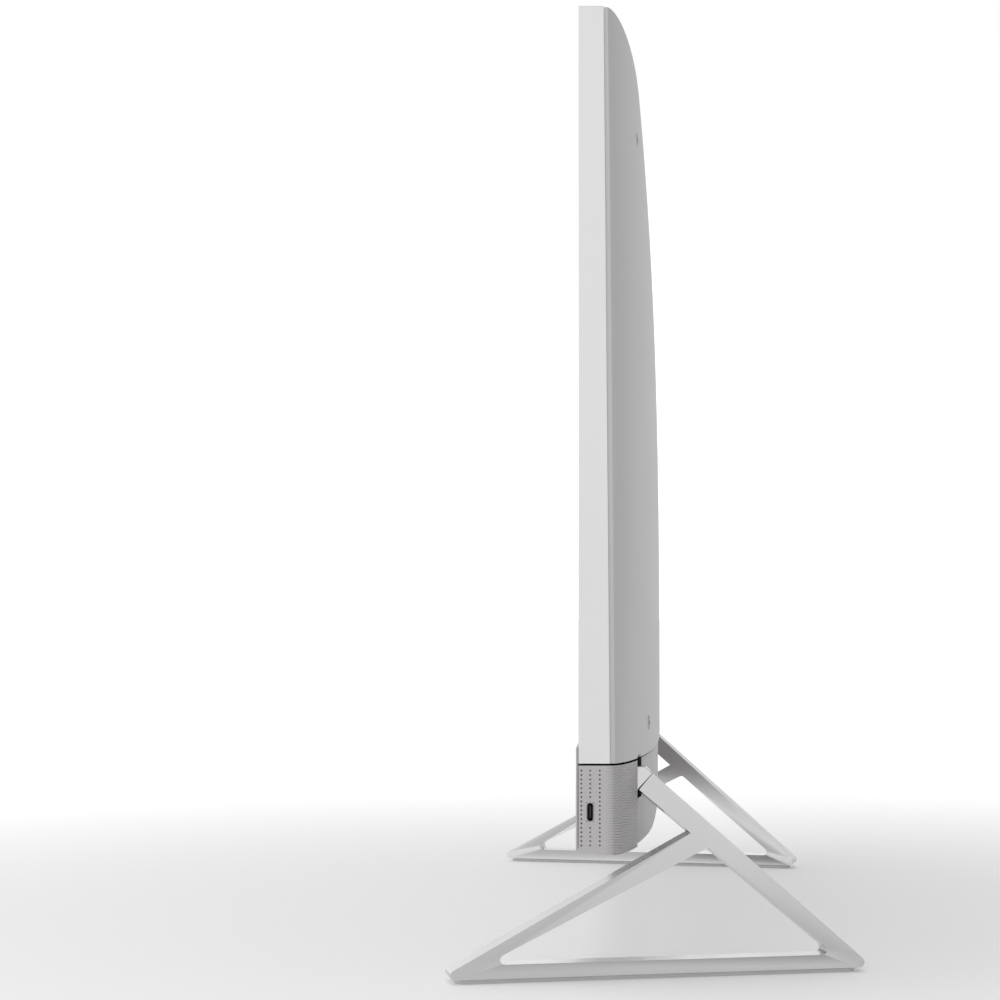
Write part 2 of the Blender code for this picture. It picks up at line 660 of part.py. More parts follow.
def make_sockets(rear_cover):
    """The rear sockets, each a cup open to the back, and their openings in the cover."""
    back = socket_back()
    front = back - SOCKET_DEEP
    row_z = CHIN_BOTTOM_Z + CHIN_ROUND_UP + SOCKET_SPACE
    made = []
    shell = finish("socket_shell", (0.62, 0.62, 0.64), 0.35, 1.0)
    for name, size, left in socket_row():
        low = (left, front, row_z - size[1] / 2)
        high = (left + size[0], back, row_z + size[1] / 2)
        if size[0] == size[1]:
            middle = (left + size[0] / 2, back, row_z)
            body = rod(name, middle, "Y", size[0] / 2, SOCKET_DEEP, dark_plastic(), 24)
            bore = INLET_BORE if name == "power_inlet" else AUDIO_BORE
            start = (middle[0], back + CUT_PAST, row_z)
            cut_rod(body, "bore", start, "Y", bore, CUT_PAST + SOCKET_DEEP - 2 * SOCKET_WALL, 24)
        else:
            body = box(name, low, high, shell)
            cut_box(body, "mouth",
                    (low[0] + SOCKET_WALL, front + 2 * SOCKET_WALL, low[2] + SOCKET_WALL),
                    (high[0] - SOCKET_WALL, back + CUT_PAST, high[2] - SOCKET_WALL))
        cut_box(rear_cover, name + "_hole",
                (low[0] - SOCKET_MARGIN, back - SOCKET_DEEP / 2, low[2] - SOCKET_MARGIN),
                (high[0] + SOCKET_MARGIN, back + 2 * CUT_PAST, high[2] + SOCKET_MARGIN))
        made.append(body)
    row = socket_row()
    right = row[-1][2] + row[-1][1][0]
    board_back = front - GAP
    made.append(box("io_board",
                    (row[0][2], board_back - BOARD_THICK, CHIN_BOTTOM_Z + 3 * CHIN_WALL),
                    (right, board_back, CHIN_TOP_Z - 2 * CHIN_WALL), circuit()))
    return made


def make_side_port():
    """USB-C receptacle on the right side and its small board."""
    y = CHIN_FRONT_Y + PORT_BACK
    z = SEAM_Z - PORT_DROP
    outer = HALF - PORT_SHELL
    shell = box("usb_c_socket",
                (outer - PORT_DEEP, y - PORT_WIDE / 2 + GAP, z - PORT_TALL / 2 + GAP),
                (outer, y + PORT_WIDE / 2 - GAP, z + PORT_TALL / 2 - GAP), steel())
    cut_box(shell, "mouth",
            (outer - PORT_DEEP + PORT_SHELL, y - PORT_WIDE / 2 + GAP + PORT_SHELL,
             z - PORT_TALL / 2 + GAP + PORT_SHELL),
            (outer + CUT_PAST, y + PORT_WIDE / 2 - GAP - PORT_SHELL,
             z + PORT_TALL / 2 - GAP - PORT_SHELL))
    inner = outer - PORT_DEEP - GAP
    board = box("side_port_board",
                (inner - BOARD_THICK, chin_front() + 2 * CHIN_WALL, z - PORT_TALL),
                (inner, CHIN_FRONT_Y + 2 * PORT_BACK - GAP, z + PORT_TALL), circuit())
    return [shell, board]


# ---- legs and hinges ------------------------------------------------------------------------
def meet(a, towards_a, b, towards_b):
    """Where two lines cross, each given by two points."""
    run_a = towards_a - a
    run_b = towards_b - b
    across = run_a.x * run_b.y - run_a.y * run_b.x
    share = ((b.x - a.x) * run_b.y - (b.y - a.y) * run_b.x) / across
    return a + run_a * share


def sharp_corner(tip, radius, outwards, far):
    """The unrounded corner on the floor line whose rounding just reaches the tip."""
    corner = tip
    for _ in range(8):
        angle = math.atan2(far.y - METAL_BOTTOM_Z, abs(corner - far.x))
        corner = tip + outwards * radius * (1 / math.tan(angle / 2) - 1)
    return Vector((corner, METAL_BOTTOM_Z))


def arm_joint_y():
    """The arm's joint with the leg, where the leg's outer face meets the arm's."""
    return HINGE_Y + ARM_REACH - REAR_BAR_TOP / 3


def leg_points():
    """Corners of the leg in its own plane: along the leg, and up."""
    squeeze = math.cos(LEG_SPLAY)
    tip_front = (TIP_FRONT_Y - arm_joint_y()) / squeeze
    tip_rear = tip_front + FOOT_LENGTH
    knee = Vector(((HINGE_Y + ARM_REACH - arm_joint_y()) / squeeze,
                   HINGE_Z + ARM_KNEE_DROP))
    rear = sharp_corner(tip_rear, TIP_RADIUS_REAR, 1, knee)
    down = (rear - knee).normalized()
    inner = Vector((down.y, -down.x))
    heel = knee + inner * REAR_BAR_TOP
    rear_inner = rear + inner * REAR_BAR_FOOT
    crotch = heel + (rear_inner - heel).normalized() * FRONT_BAR_DROP
    front = sharp_corner(tip_front, TIP_RADIUS_FRONT, -1, crotch)
    rise = (crotch - front).normalized()
    under = Vector((rise.y, -rise.x))
    return {"knee": knee, "rear": rear, "heel": heel, "rear_inner": rear_inner,
            "crotch": crotch, "front": front, "down": down,
            "front_low": front + under * FRONT_BAR_FOOT,
            "crotch_low": crotch + under * FRONT_BAR_TOP}


def leg_thickness(z):
    share = (z - METAL_BOTTOM_Z) / (HINGE_Z - METAL_BOTTOM_Z)
    return LEG_THICK_FOOT + (LEG_THICK_HINGE - LEG_THICK_FOOT) * share


def leg_turn():
    """From the leg's own plane to where the right leg stands."""
    return (Matrix.Translation((ARM_OUTER_X, arm_joint_y(), 0.0))
            @ Matrix.Rotation(LEG_SPLAY, 4, "Z"))


def make_leg():
    """Right leg: one open triangle, thinner towards the hinge, splayed to the front."""
    at = leg_points()
    start = GAP * at["down"]
    outer = [(*at["front"], TIP_RADIUS_FRONT), (*at["rear"], TIP_RADIUS_REAR),
             (*(at["knee"] + start), 0.0), (*(at["heel"] + start), 0.0),
             (*at["crotch"], 0.0)]
    floor = Vector((0.0, METAL_BOTTOM_Z + BASE_BAR_HEIGHT))
    floor_far = floor + Vector((1.0, 0.0))
    low_front = meet(at["front_low"], at["crotch_low"], floor, floor_far)
    low_rear = meet(at["rear_inner"], at["heel"], floor, floor_far)
    peak = meet(at["front_low"], at["crotch_low"], at["rear_inner"], at["heel"])
    hole = [(*low_front, OPENING_RADIUS), (*low_rear, OPENING_RADIUS),
            (*peak, OPENING_RADIUS)]
    leg = prism("leg_frame_right", [rounded(outer), rounded(hole)], "X",
                -LEG_THICK_FOOT, 0.0, satin_metal())
    for vert in leg.data.vertices:
        if vert.co.x < -LEG_THICK_FOOT / 2:
            vert.co.x = -leg_thickness(vert.co.z)
    bolt_at, along = bolt_line()
    socket = rod("leg_frame_right_bolt_hole", (0, 0, 0), "Z", BOLT_RADIUS + BORE_GAP,
                 BOLT_LENGTH + 2 * GAP, None, 16, CUTTERS)
    socket.matrix_world = bolt_matrix(bolt_at, along, -BOLT_LENGTH / 2 - GAP)
    leg.data.transform(leg_turn())
    combine(leg, socket)
    return leg


def bolt_line():
    """Middle of the joint between arm and leg, and the direction of the rear bar."""
    at = leg_points()
    turn = leg_turn()
    middle = (at["knee"] + at["heel"]) / 2
    inwards = -leg_thickness(HINGE_Z) / 2
    point = turn @ Vector((inwards, middle.x, middle.y))
    along = turn.to_3x3() @ Vector((0.0, at["down"].x, at["down"].y))
    return point, along.normalized()


def bolt_matrix(point, along, offset):
    turn = along.to_track_quat("Z", "Y").to_matrix().to_4x4()
    return Matrix.Translation(point + along * offset) @ turn


def make_arm():
    """Right hinge arm: a barrel on the tilt axis, through the slot, down to the leg."""
    at = leg_points()
    turn = leg_turn()
    edge = []
    for key in ("knee", "heel"):
        seen = turn @ Vector((0.0, at[key].x, at[key].y))
        edge.append(Vector((seen.y, seen.z)))
    knee, heel = edge
    slope = at["down"].y / (at["down"].x * math.cos(LEG_SPLAY))
    top = HINGE_Z + ARM_HALF_HEIGHT
    low = HINGE_Z - ARM_HALF_HEIGHT
    past = Vector((ARM_THICK, ARM_THICK * slope))
    outline = [Vector((knee.x + (top - knee.y) / slope, top)), knee + past, heel + past,
               Vector((heel.x + (low - heel.y) / slope, low))]
    steps = 10
    for step in range(steps + 1):
        angle = math.pi * (1.5 - step / steps)
        outline.append(Vector((HINGE_Y + ARM_HALF_HEIGHT * math.cos(angle),
                               HINGE_Z + ARM_HALF_HEIGHT * math.sin(angle))))
    arm = prism("hinge_arm_right", [outline], "X", ARM_INNER_X, ARM_OUTER_X, satin_metal())
    far = at["down"] * ARM_THICK * 4
    across = (at["knee"] - at["heel"]) * 0.5
    joint = [at["knee"] + across, at["heel"] - across, at["heel"] - across + far,
             at["knee"] + across + far]
    end = prism("hinge_arm_right_end", [joint], "X", -ARM_THICK * 2, ARM_THICK, None, CUTTERS)
    end.data.transform(turn)
    combine(arm, end)
    cut_rod(arm, "pin_hole", (ARM_INNER_X - CUT_OVER, HINGE_Y, HINGE_Z), "X",
            PIN_RADIUS + BORE_GAP, pin_grip() + CUT_OVER + GAP, 48)
    bolt_at, along = bolt_line()
    socket = rod("hinge_arm_right_bolt_hole", (0, 0, 0), "Z", BOLT_RADIUS + BORE_GAP,
                 BOLT_LENGTH + 2 * GAP, None, 16, CUTTERS)
    socket.matrix_world = bolt_matrix(bolt_at, along, -BOLT_LENGTH / 2 - GAP)
    combine(arm, socket)
    return arm


def pin_grip():
    """How far the pin goes into the arm."""
    return ARM_THICK * 0.6


def make_hinge_parts():
    pin = rod("hinge_pin_right", (ARM_INNER_X + pin_grip() - PIN_LENGTH, HINGE_Y, HINGE_Z),
              "X", PIN_RADIUS, PIN_LENGTH, steel(), 48)
    bolt = rod("leg_bolt_right", (0, 0, 0), "Z", BOLT_RADIUS, BOLT_LENGTH, steel(), 16)
    bolt_at, along = bolt_line()
    bolt.matrix_world = bolt_matrix(bolt_at, along, -BOLT_LENGTH / 2)
    inner, outer = bracket_span()
    bracket = box("hinge_bracket_right",
                  (inner, PLATE_BACK_Y + GAP, HINGE_Z - BRACKET_RADIUS),
                  (outer, HINGE_Y + BRACKET_RADIUS, HINGE_Z + BRACKET_RADIUS),
                  steel(), BRACKET_EDGE)
    tab = box("hinge_bracket_right_tab",
              (inner + BRACKET_TAB_INSET, PLATE_BACK_Y + GAP, HINGE_Z),
              (outer - BRACKET_TAB_INSET, PLATE_BACK_Y + BRACKET_TAB_THICK,
               SEAM_Z + BRACKET_LENGTH * 2),
              None, 0.0, CUTTERS)
    combine(bracket, tab, "UNION")
    cut_rod(bracket, "bore", (inner - CUT_OVER, HINGE_Y, HINGE_Z), "X", PIN_RADIUS + BORE_GAP,
            BRACKET_LENGTH + 2 * CUT_OVER, 48)
    return [pin, bolt, bracket]


def bracket_span():
    outer = ARM_INNER_X - ARM_SIDE_GAP
    return outer - BRACKET_LENGTH, outer


def speaker_span():
    """Right speaker's inner and outer ends, beside the hinge bracket."""
    outer = bracket_span()[0] - BRACKET_SPACE
    return outer - SPEAKER_SIZE[0], outer


def make_pad():
    """Right foot pad: a strip under the base bar, inset from its edges."""
    at = leg_points()
    front = at["front"].x + (LEG_THICK_FOOT + TIP_RADIUS_FRONT) * 0.5
    rear = at["rear"].x - TIP_RADIUS_REAR * 3
    half_width = LEG_THICK_FOOT / 2 - PAD_INSET
    corner = half_width * 0.8
    middle = -LEG_THICK_FOOT / 2
    outline = [(middle - half_width, front, corner), (middle + half_width, front, corner),
               (middle + half_width, rear, corner), (middle - half_width, rear, corner)]
    rubber = finish("foot_rubber", (0.55, 0.54, 0.54), 0.7)
    pad = prism("foot_pad_right", [rounded(outline)], "Z", 0.0, PAD_HEIGHT, rubber)
    pad.data.transform(leg_turn())
    return pad


# ---- computer -------------------------------------------------------------------------------
def board_box(name, x, up, size, off, material):
    """A flat part on the back of the system board: size is width, height and thickness."""
    low = (x, BOARD_BACK_Y + off, BOARD_BOTTOM_Z + up)
    high = (x + size[0], BOARD_BACK_Y + off + size[2], BOARD_BOTTOM_Z + up + size[1])
    return box(name, low, high, material)


def make_computer():
    wide, tall = BOARD_SIZE
    left = -wide / 2
    made = [box("system_board", (left, BOARD_FRONT_Y, BOARD_BOTTOM_Z),
                (-left, BOARD_BACK_Y, BOARD_TOP_Z), circuit())]
    chip_x = COOLER_SIDE * 0.1
    chip_up = tall - COOLER_SIDE / 2 - STACK_GAP
    for name, side, thick, off, material in (
            ("processor", CHIP_SIDE, CHIP_THICK, GAP, dark_plastic()),
            ("cooler_plate", COOLER_SIDE, COOLER_THICK, 2 * GAP + CHIP_THICK,
             finish("copper", (0.72, 0.38, 0.22), 0.35, 1.0))):
        made.append(board_box(name, chip_x - side / 2, chip_up - side / 2,
                              (side, side, thick), off, material))
    row_up = CARD_ABOVE_EDGE
    for number, name in enumerate(("memory_module_lower", "memory_module_upper")):
        up = row_up + number * (MEMORY_SIZE[1] + CARD_SPACE)
        made.append(board_box(name, -left - MEMORY_SIZE[0] - CARD_FROM_EDGE, up, MEMORY_SIZE,
                              CARD_OFF_BOARD,
                              circuit()))
    made.append(board_box("solid_state_drive", left + CARD_FROM_EDGE, row_up, STICK_SIZE,
                          CARD_OFF_BOARD,
                          dark_plastic()))
    made.append(board_box("wireless_card", left + CARD_FROM_EDGE,
                          row_up + STICK_SIZE[1] + CARD_ABOVE_EDGE,
                          WIRELESS_SIZE, CARD_OFF_BOARD, circuit()))
    cell_y = BOARD_BACK_Y + GAP + CELL_THICK
    cell_z = BOARD_BOTTOM_Z + row_up + STICK_SIZE[1] + CARD_ABOVE_EDGE + CELL_RADIUS
    made.append(rod("coin_cell",
                    (left + WIRELESS_SIZE[0] + CELL_FROM_CARD + CELL_RADIUS, cell_y, cell_z),
                    "Y", CELL_RADIUS, CELL_THICK, steel(), 32))
    return made + make_cooling(chip_x, BOARD_BOTTOM_Z + chip_up) + make_drive(left)


def fan_place():
    """Middle of the fan, and the front of its housing."""
    left = PIPE_RADIUS * 2 + COOLER_SIDE * 0.1 + STACK_GAP
    x = left + FAN_SIZE / 2
    z = BOARD_TOP_Z + STACK_GAP + FAN_SIZE / 2
    return Vector((x, PLATE_BACK_Y + OFF_PLATE, z))


def make_cooling(chip_x, chip_z):
    at = fan_place()
    half = FAN_SIZE / 2
    housing = box("fan_housing", (at.x - half, at.y, at.z - half),
                  (at.x + half, at.y + FAN_DEEP, at.z + half), dark_plastic())
    back = at.y + FAN_DEEP
    cut_rod(housing, "cavity", (at.x, back + CUT_OVER, at.z), "Y", ROTOR_RADIUS + ROTOR_CLEAR,
            FAN_DEEP - FAN_WALL + CUT_OVER, 40)
    mouth = ROTOR_RADIUS * 0.8
    cut_box(housing, "outlet", (at.x - mouth, at.y + FAN_WALL, at.z),
            (at.x + mouth, back - FAN_WALL, at.z + half + CUT_PAST))
    spindle = rod("fan_housing_spindle", (at.x, at.y + FAN_DEEP * 0.6, at.z), "Y",
                  SPINDLE_RADIUS, FAN_DEEP * 0.6 - FAN_WALL / 2, None, 24, CUTTERS)
    combine(housing, spindle, "UNION")
    base_z = at.z + half + STACK_GAP / 2
    count = int((FAN_SIZE - FIN_THICK) / FIN_PITCH)
    length = count * FIN_PITCH + FIN_THICK
    left = at.x - length / 2
    root_z = base_z + FIN_THICK * 2
    tip_z = base_z + FIN_STACK_HEIGHT
    comb = [Vector((left, base_z)), Vector((left + length, base_z))]
    for number in range(count, -1, -1):
        x = left + number * FIN_PITCH
        comb += [Vector((x + FIN_THICK, tip_z)), Vector((x, tip_z))]
        if number:
            comb += [Vector((x, root_z)), Vector((x - FIN_PITCH + FIN_THICK, root_z))]
    sink = prism("heat_sink", [comb], "Y", at.y, at.y + FAN_DEEP * FIN_SHARE,
                 finish("fins", (0.7, 0.7, 0.72), 0.4, 1.0))
    pipe_y = (BOARD_BACK_Y + 3 * GAP + CHIP_THICK + COOLER_THICK + PIPE_RADIUS)
    turn = chip_x + PIPE_RADIUS * 4
    pipe_z = base_z + FIN_STACK_HEIGHT / 2
    route = [(chip_x, chip_z), (chip_x, pipe_z - PIPE_RADIUS * 4),
             (chip_x + PIPE_RADIUS, pipe_z - PIPE_RADIUS), (turn, pipe_z),
             (at.x + length / 2, pipe_z)]
    curve = bpy.data.curves.new("heat_pipe", "CURVE")
    curve.dimensions = "3D"
    curve.bevel_depth = PIPE_RADIUS
    curve.bevel_resolution = 2
    curve.use_fill_caps = True
    spline = curve.splines.new("POLY")
    spline.points.add(len(route) - 1)
    for point, (x, z) in zip(spline.points, route):
        point.co = (x, pipe_y, z, 1.0)
    curve.materials.append(finish("copper", (0.72, 0.38, 0.22), 0.35, 1.0))
    pipe = bpy.data.objects.new("heat_pipe", curve)
    GROUPS[PARTS].objects.link(pipe)
    return [housing, sink, pipe]


def make_fan_rotor():
    """Fan wheel: a hub with swept blades, on the housing's spindle."""
    at = fan_place()
    outline = []
    sweep = math.radians(16)
    for number in range(BLADES):
        start = 2 * math.pi * number / BLADES
        for radius, turn in ((HUB_RADIUS, 0.0), (ROTOR_RADIUS * 0.7, sweep * 0.5),
                             (ROTOR_RADIUS, sweep)):
            edge = BLADE_THICK / 2 / radius
            outline.append((radius, start + turn - edge))
        for radius, turn in ((ROTOR_RADIUS, sweep), (ROTOR_RADIUS * 0.7, sweep * 0.5),
                             (HUB_RADIUS, 0.0)):
            edge = BLADE_THICK / 2 / radius
            outline.append((radius, start + turn + edge))
        outline.append((HUB_RADIUS, start + math.pi / BLADES))
    ring = [Vector((r * math.cos(a), r * math.sin(a))) for r, a in outline]
    bore = [Vector(((SPINDLE_RADIUS + BORE_GAP) * math.cos(math.tau * step / 24),
                    (SPINDLE_RADIUS + BORE_GAP) * math.sin(math.tau * step / 24)))
            for step in range(24)]
    low = FAN_WALL + 2 * GAP
    rotor = prism("fan_rotor", [ring, bore], "Y", low, FAN_DEEP - FAN_WALL, dark_plastic())
    rotor.location = (at.x, at.y, at.z)
    return rotor


def make_drive(left):
    wide, tall, thick = DRIVE_SIZE
    low_z = BOARD_TOP_Z + STACK_GAP
    high_x = -STACK_GAP / 2
    y = PLATE_BACK_Y + OFF_PLATE
    tray = box("hard_drive_tray", (high_x - wide, y, low_z),
               (high_x, y + TRAY_THICK, low_z + tall), steel())
    drive = box("hard_drive", (high_x - wide, y + TRAY_THICK + GAP, low_z),
                (high_x, y + TRAY_THICK + GAP + thick, low_z + tall),
                finish("drive_case", (0.6, 0.6, 0.6), 0.4, 1.0), 0.001)
    return [tray, drive]


def make_right_hand_parts():
    """Chin and top pieces that the left side repeats."""
    inner, outer = speaker_span()
    _, deep, tall = SPEAKER_SIZE
    low_z = CHIN_BOTTOM_Z + CHIN_FRONT_RISE + CHIN_WALL + CUT_OVER
    front = chin_front() + CHIN_WALL
    speaker = box("speaker_right", (inner, front, low_z),
                  (outer, front + deep, low_z + tall), dark_plastic(), SPEAKER_EDGE)
    antenna_x = HALF - PLATE_MARGIN - ANTENNA_SIZE[0] - ANTENNA_FROM_EDGE
    antenna_z = TOP_Z - PLATE_MARGIN - ANTENNA_SIZE[2]
    antenna = box("antenna_right", (antenna_x, PLATE_BACK_Y + GAP, antenna_z),
                  (antenna_x + ANTENNA_SIZE[0], PLATE_BACK_Y + GAP + ANTENNA_SIZE[1],
                   antenna_z + ANTENNA_SIZE[2]), circuit())
    return [speaker, antenna]


# ---- camera, button, screws -------------------------------------------------------------------
def camera_front():
    return DISPLAY_FRONT_Y + SIDE_DEPTH_TOP + CAMERA_BACK


def make_camera():
    wide, deep, tall = CAMERA_SIZE
    front = camera_front()
    top = TOP_Z - TOP_LIP
    lens_z = top - LENS_DROP
    body = box("camera_housing", (-wide / 2, front, top - tall), (wide / 2, front + deep, top),
               white_shell(), CAMERA_EDGE)
    cut_rod(body, "lens_seat", (0.0, front + LENS_THICK + 2 * GAP, lens_z), "Y",
            LENS_RADIUS + GAP, LENS_THICK + CUT_PAST, 32)
    lens = rod("camera_lens", (0.0, front + LENS_THICK + GAP, lens_z), "Y", LENS_RADIUS,
               LENS_THICK, finish("lens_glass", (0.01, 0.01, 0.02), 0.1), 32)
    slack = SLIDE_GAP
    dock = box("camera_dock",
               (-wide / 2 - slack - DOCK_WALL, PLATE_BACK_Y + GAP, top - tall - 2 * DOCK_WALL),
               (wide / 2 + slack + DOCK_WALL, front + deep + slack + DOCK_WALL,
                top - COVER_WALL - GAP), dark_plastic())
    cut_box(dock, "guide", (-wide / 2 - slack, front - slack, top - tall - slack),
            (wide / 2 + slack, front + deep + slack, top + CUT_PAST))
    return body, lens, dock


def button_place():
    return HALF - BUTTON_SIDE, CHIN_FRONT_Y + BUTTON_BACK


def make_button():
    x, y = button_place()
    floor = CHIN_BOTTOM_Z + REAR_RECESS + CHIN_WALL
    half_x, half_y = BUTTON_SIZE[0] / 2, BUTTON_SIZE[1] / 2
    button = box("power_button",
                 (x - half_x, y - half_y, CHIN_BOTTOM_Z + REAR_RECESS - BUTTON_PROUD),
                 (x + half_x, y + half_y, floor + BUTTON_STEM), dark_plastic(), BUTTON_EDGE)
    flange = box("power_button_flange",
                 (x - half_x - BUTTON_FLANGE, y - half_y - BUTTON_FLANGE, floor + GAP),
                 (x + half_x + BUTTON_FLANGE, y + half_y + BUTTON_FLANGE,
                  floor + BUTTON_FLANGE),
                 None, 0.0, CUTTERS)
    combine(button, flange, "UNION")
    above = floor + BUTTON_STEM + BUTTON_TRAVEL + GAP
    switch = box("power_switch_board", (x - half_x, y - half_y, above),
                 (x + half_x, y + half_y, above + BOARD_THICK * 2), circuit())
    return button, switch


def make_screws(cover):
    """Four screws through the rear cover, sunk below its surface."""
    made = []
    for row, z in (("lower", SEAM_Z + SCREW_UP), ("upper", TOP_Z - 3 * SCREW_UP)):
        for side, sign in (("left", -1), ("right", 1)):
            x = sign * (HALF - SCREW_SIDE)
            back = DISPLAY_FRONT_Y + back_depth(x, z)
            head = back - COVER_WALL / 2
            name = f"cover_screw_{row}_{side}"
            made.append(rod(name, (x, head, z), "Y", SCREW_RADIUS, SCREW_LENGTH, steel(), 16))
            cut_rod(cover, name + "_hole", (x, back + CUT_PAST, z), "Y", SCREW_RADIUS + GAP,
                    SCREW_LENGTH + CUT_PAST, 16)
    return made


# ---- assembly ---------------------------------------------------------------------------------
def hang_on(children, name, location):
    """Parent pieces to an empty on a joint axis, leaving them where they are."""
    pivot = bpy.data.objects.new(name, None)
    GROUPS[PARTS].objects.link(pivot)
    pivot.location = location
    bpy.context.view_layer.update()
    for child in children:
        child.parent = pivot
        child.matrix_parent_inverse = pivot.matrix_world.inverted()
    return pivot


def build():
    clear_scene()
    cover = make_rear_cover()
    chin_rear = make_chin_rear_cover()
    display = [make_middle_frame(), *make_screen(), make_chassis_plate(), cover, chin_rear,
               make_chin_front_cover()]
    display += make_sockets(chin_rear) + make_side_port() + make_computer()
    grille = make_side_grille()
    pin, bolt, bracket = make_hinge_parts()
    right = make_right_hand_parts()
    display += [grille, mirrored(grille, "side_grille_left")]
    cut_side_port(grille)
    for piece in (bracket, *right):
        display += [piece, mirrored(piece, piece.name.replace("right", "left"))]
    for piece in (make_leg(), make_arm(), make_pad(), pin, bolt):
        mirrored(piece, piece.name.replace("right", "left"))
    camera, lens, dock = make_camera()
    button, switch = make_button()
    display += [dock, switch, camera, button, make_fan_rotor(), *make_screws(cover)]
    hang_on(display, "tilt_axis", (0.0, HINGE_Y, HINGE_Z))
    bpy.context.view_layer.update()
    lens.parent = camera
    lens.matrix_parent_inverse = camera.matrix_world.inverted()


build()
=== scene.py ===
"""Visual model of an all in one pc on two splayed, open triangular legs.

Each sub-assembly is a class with its own sizes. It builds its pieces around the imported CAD
frame, hides the CAD nodes that they stand for and dresses the rest with procedural finishes.
"""

import logging
import math
from dataclasses import dataclass, field
from enum import Enum
from typing import Callable, Iterable, Sequence

import bmesh
import bpy
from mathutils import Matrix, Vector


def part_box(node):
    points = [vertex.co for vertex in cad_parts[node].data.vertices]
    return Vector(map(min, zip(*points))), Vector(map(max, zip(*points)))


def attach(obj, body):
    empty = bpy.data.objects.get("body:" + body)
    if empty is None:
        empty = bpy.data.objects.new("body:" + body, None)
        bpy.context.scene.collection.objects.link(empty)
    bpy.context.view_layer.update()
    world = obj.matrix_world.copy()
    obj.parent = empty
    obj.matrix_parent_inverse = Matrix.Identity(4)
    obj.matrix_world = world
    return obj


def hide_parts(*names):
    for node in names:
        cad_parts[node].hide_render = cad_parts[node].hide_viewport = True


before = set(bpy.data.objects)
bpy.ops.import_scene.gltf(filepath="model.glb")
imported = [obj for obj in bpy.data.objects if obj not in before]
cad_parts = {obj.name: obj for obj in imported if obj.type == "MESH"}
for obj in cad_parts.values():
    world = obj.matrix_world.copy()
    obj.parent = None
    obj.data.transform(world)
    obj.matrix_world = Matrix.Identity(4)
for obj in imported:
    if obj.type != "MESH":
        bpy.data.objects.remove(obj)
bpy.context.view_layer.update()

log = logging.getLogger("all_in_one_pc")

Colour = tuple[float, float, float]
Shape = bmesh.types.BMesh
Node = bpy.types.Node
Socket = bpy.types.NodeSocket

MERGE = 1e-5
SMOOTH_ANGLE = math.radians(32)
DUST: Colour = (0.62, 0.60, 0.57)
BRUSHED_SHADE = 0.82
BRUSHED_RANGE = (0.35, 0.65)
INFINITE = math.inf


# ---- named options ---------------------------------------------------------------------------
class Side(Enum):
    """The two sides of the machine."""

    RIGHT = 1
    LEFT = -1

    @property
    def word(self) -> str:
        """Side as it stands in node names."""
        return self.name.lower()


class Body(Enum):
    """CAD bodies that a piece can ride on."""

    STAND = "stand"
    DISPLAY = "display"
    CAMERA = "camera"
    FAN = "fan"
    BUTTON = "button"


class Effect(Enum):
    """Node groups shared by the finishes."""

    TONE = "uneven_tone"
    GRAIN = "fine_grain"
    DUST = "settled_dust"
    HANDLING = "handling_marks"
    BRUSH = "brushed_lines"


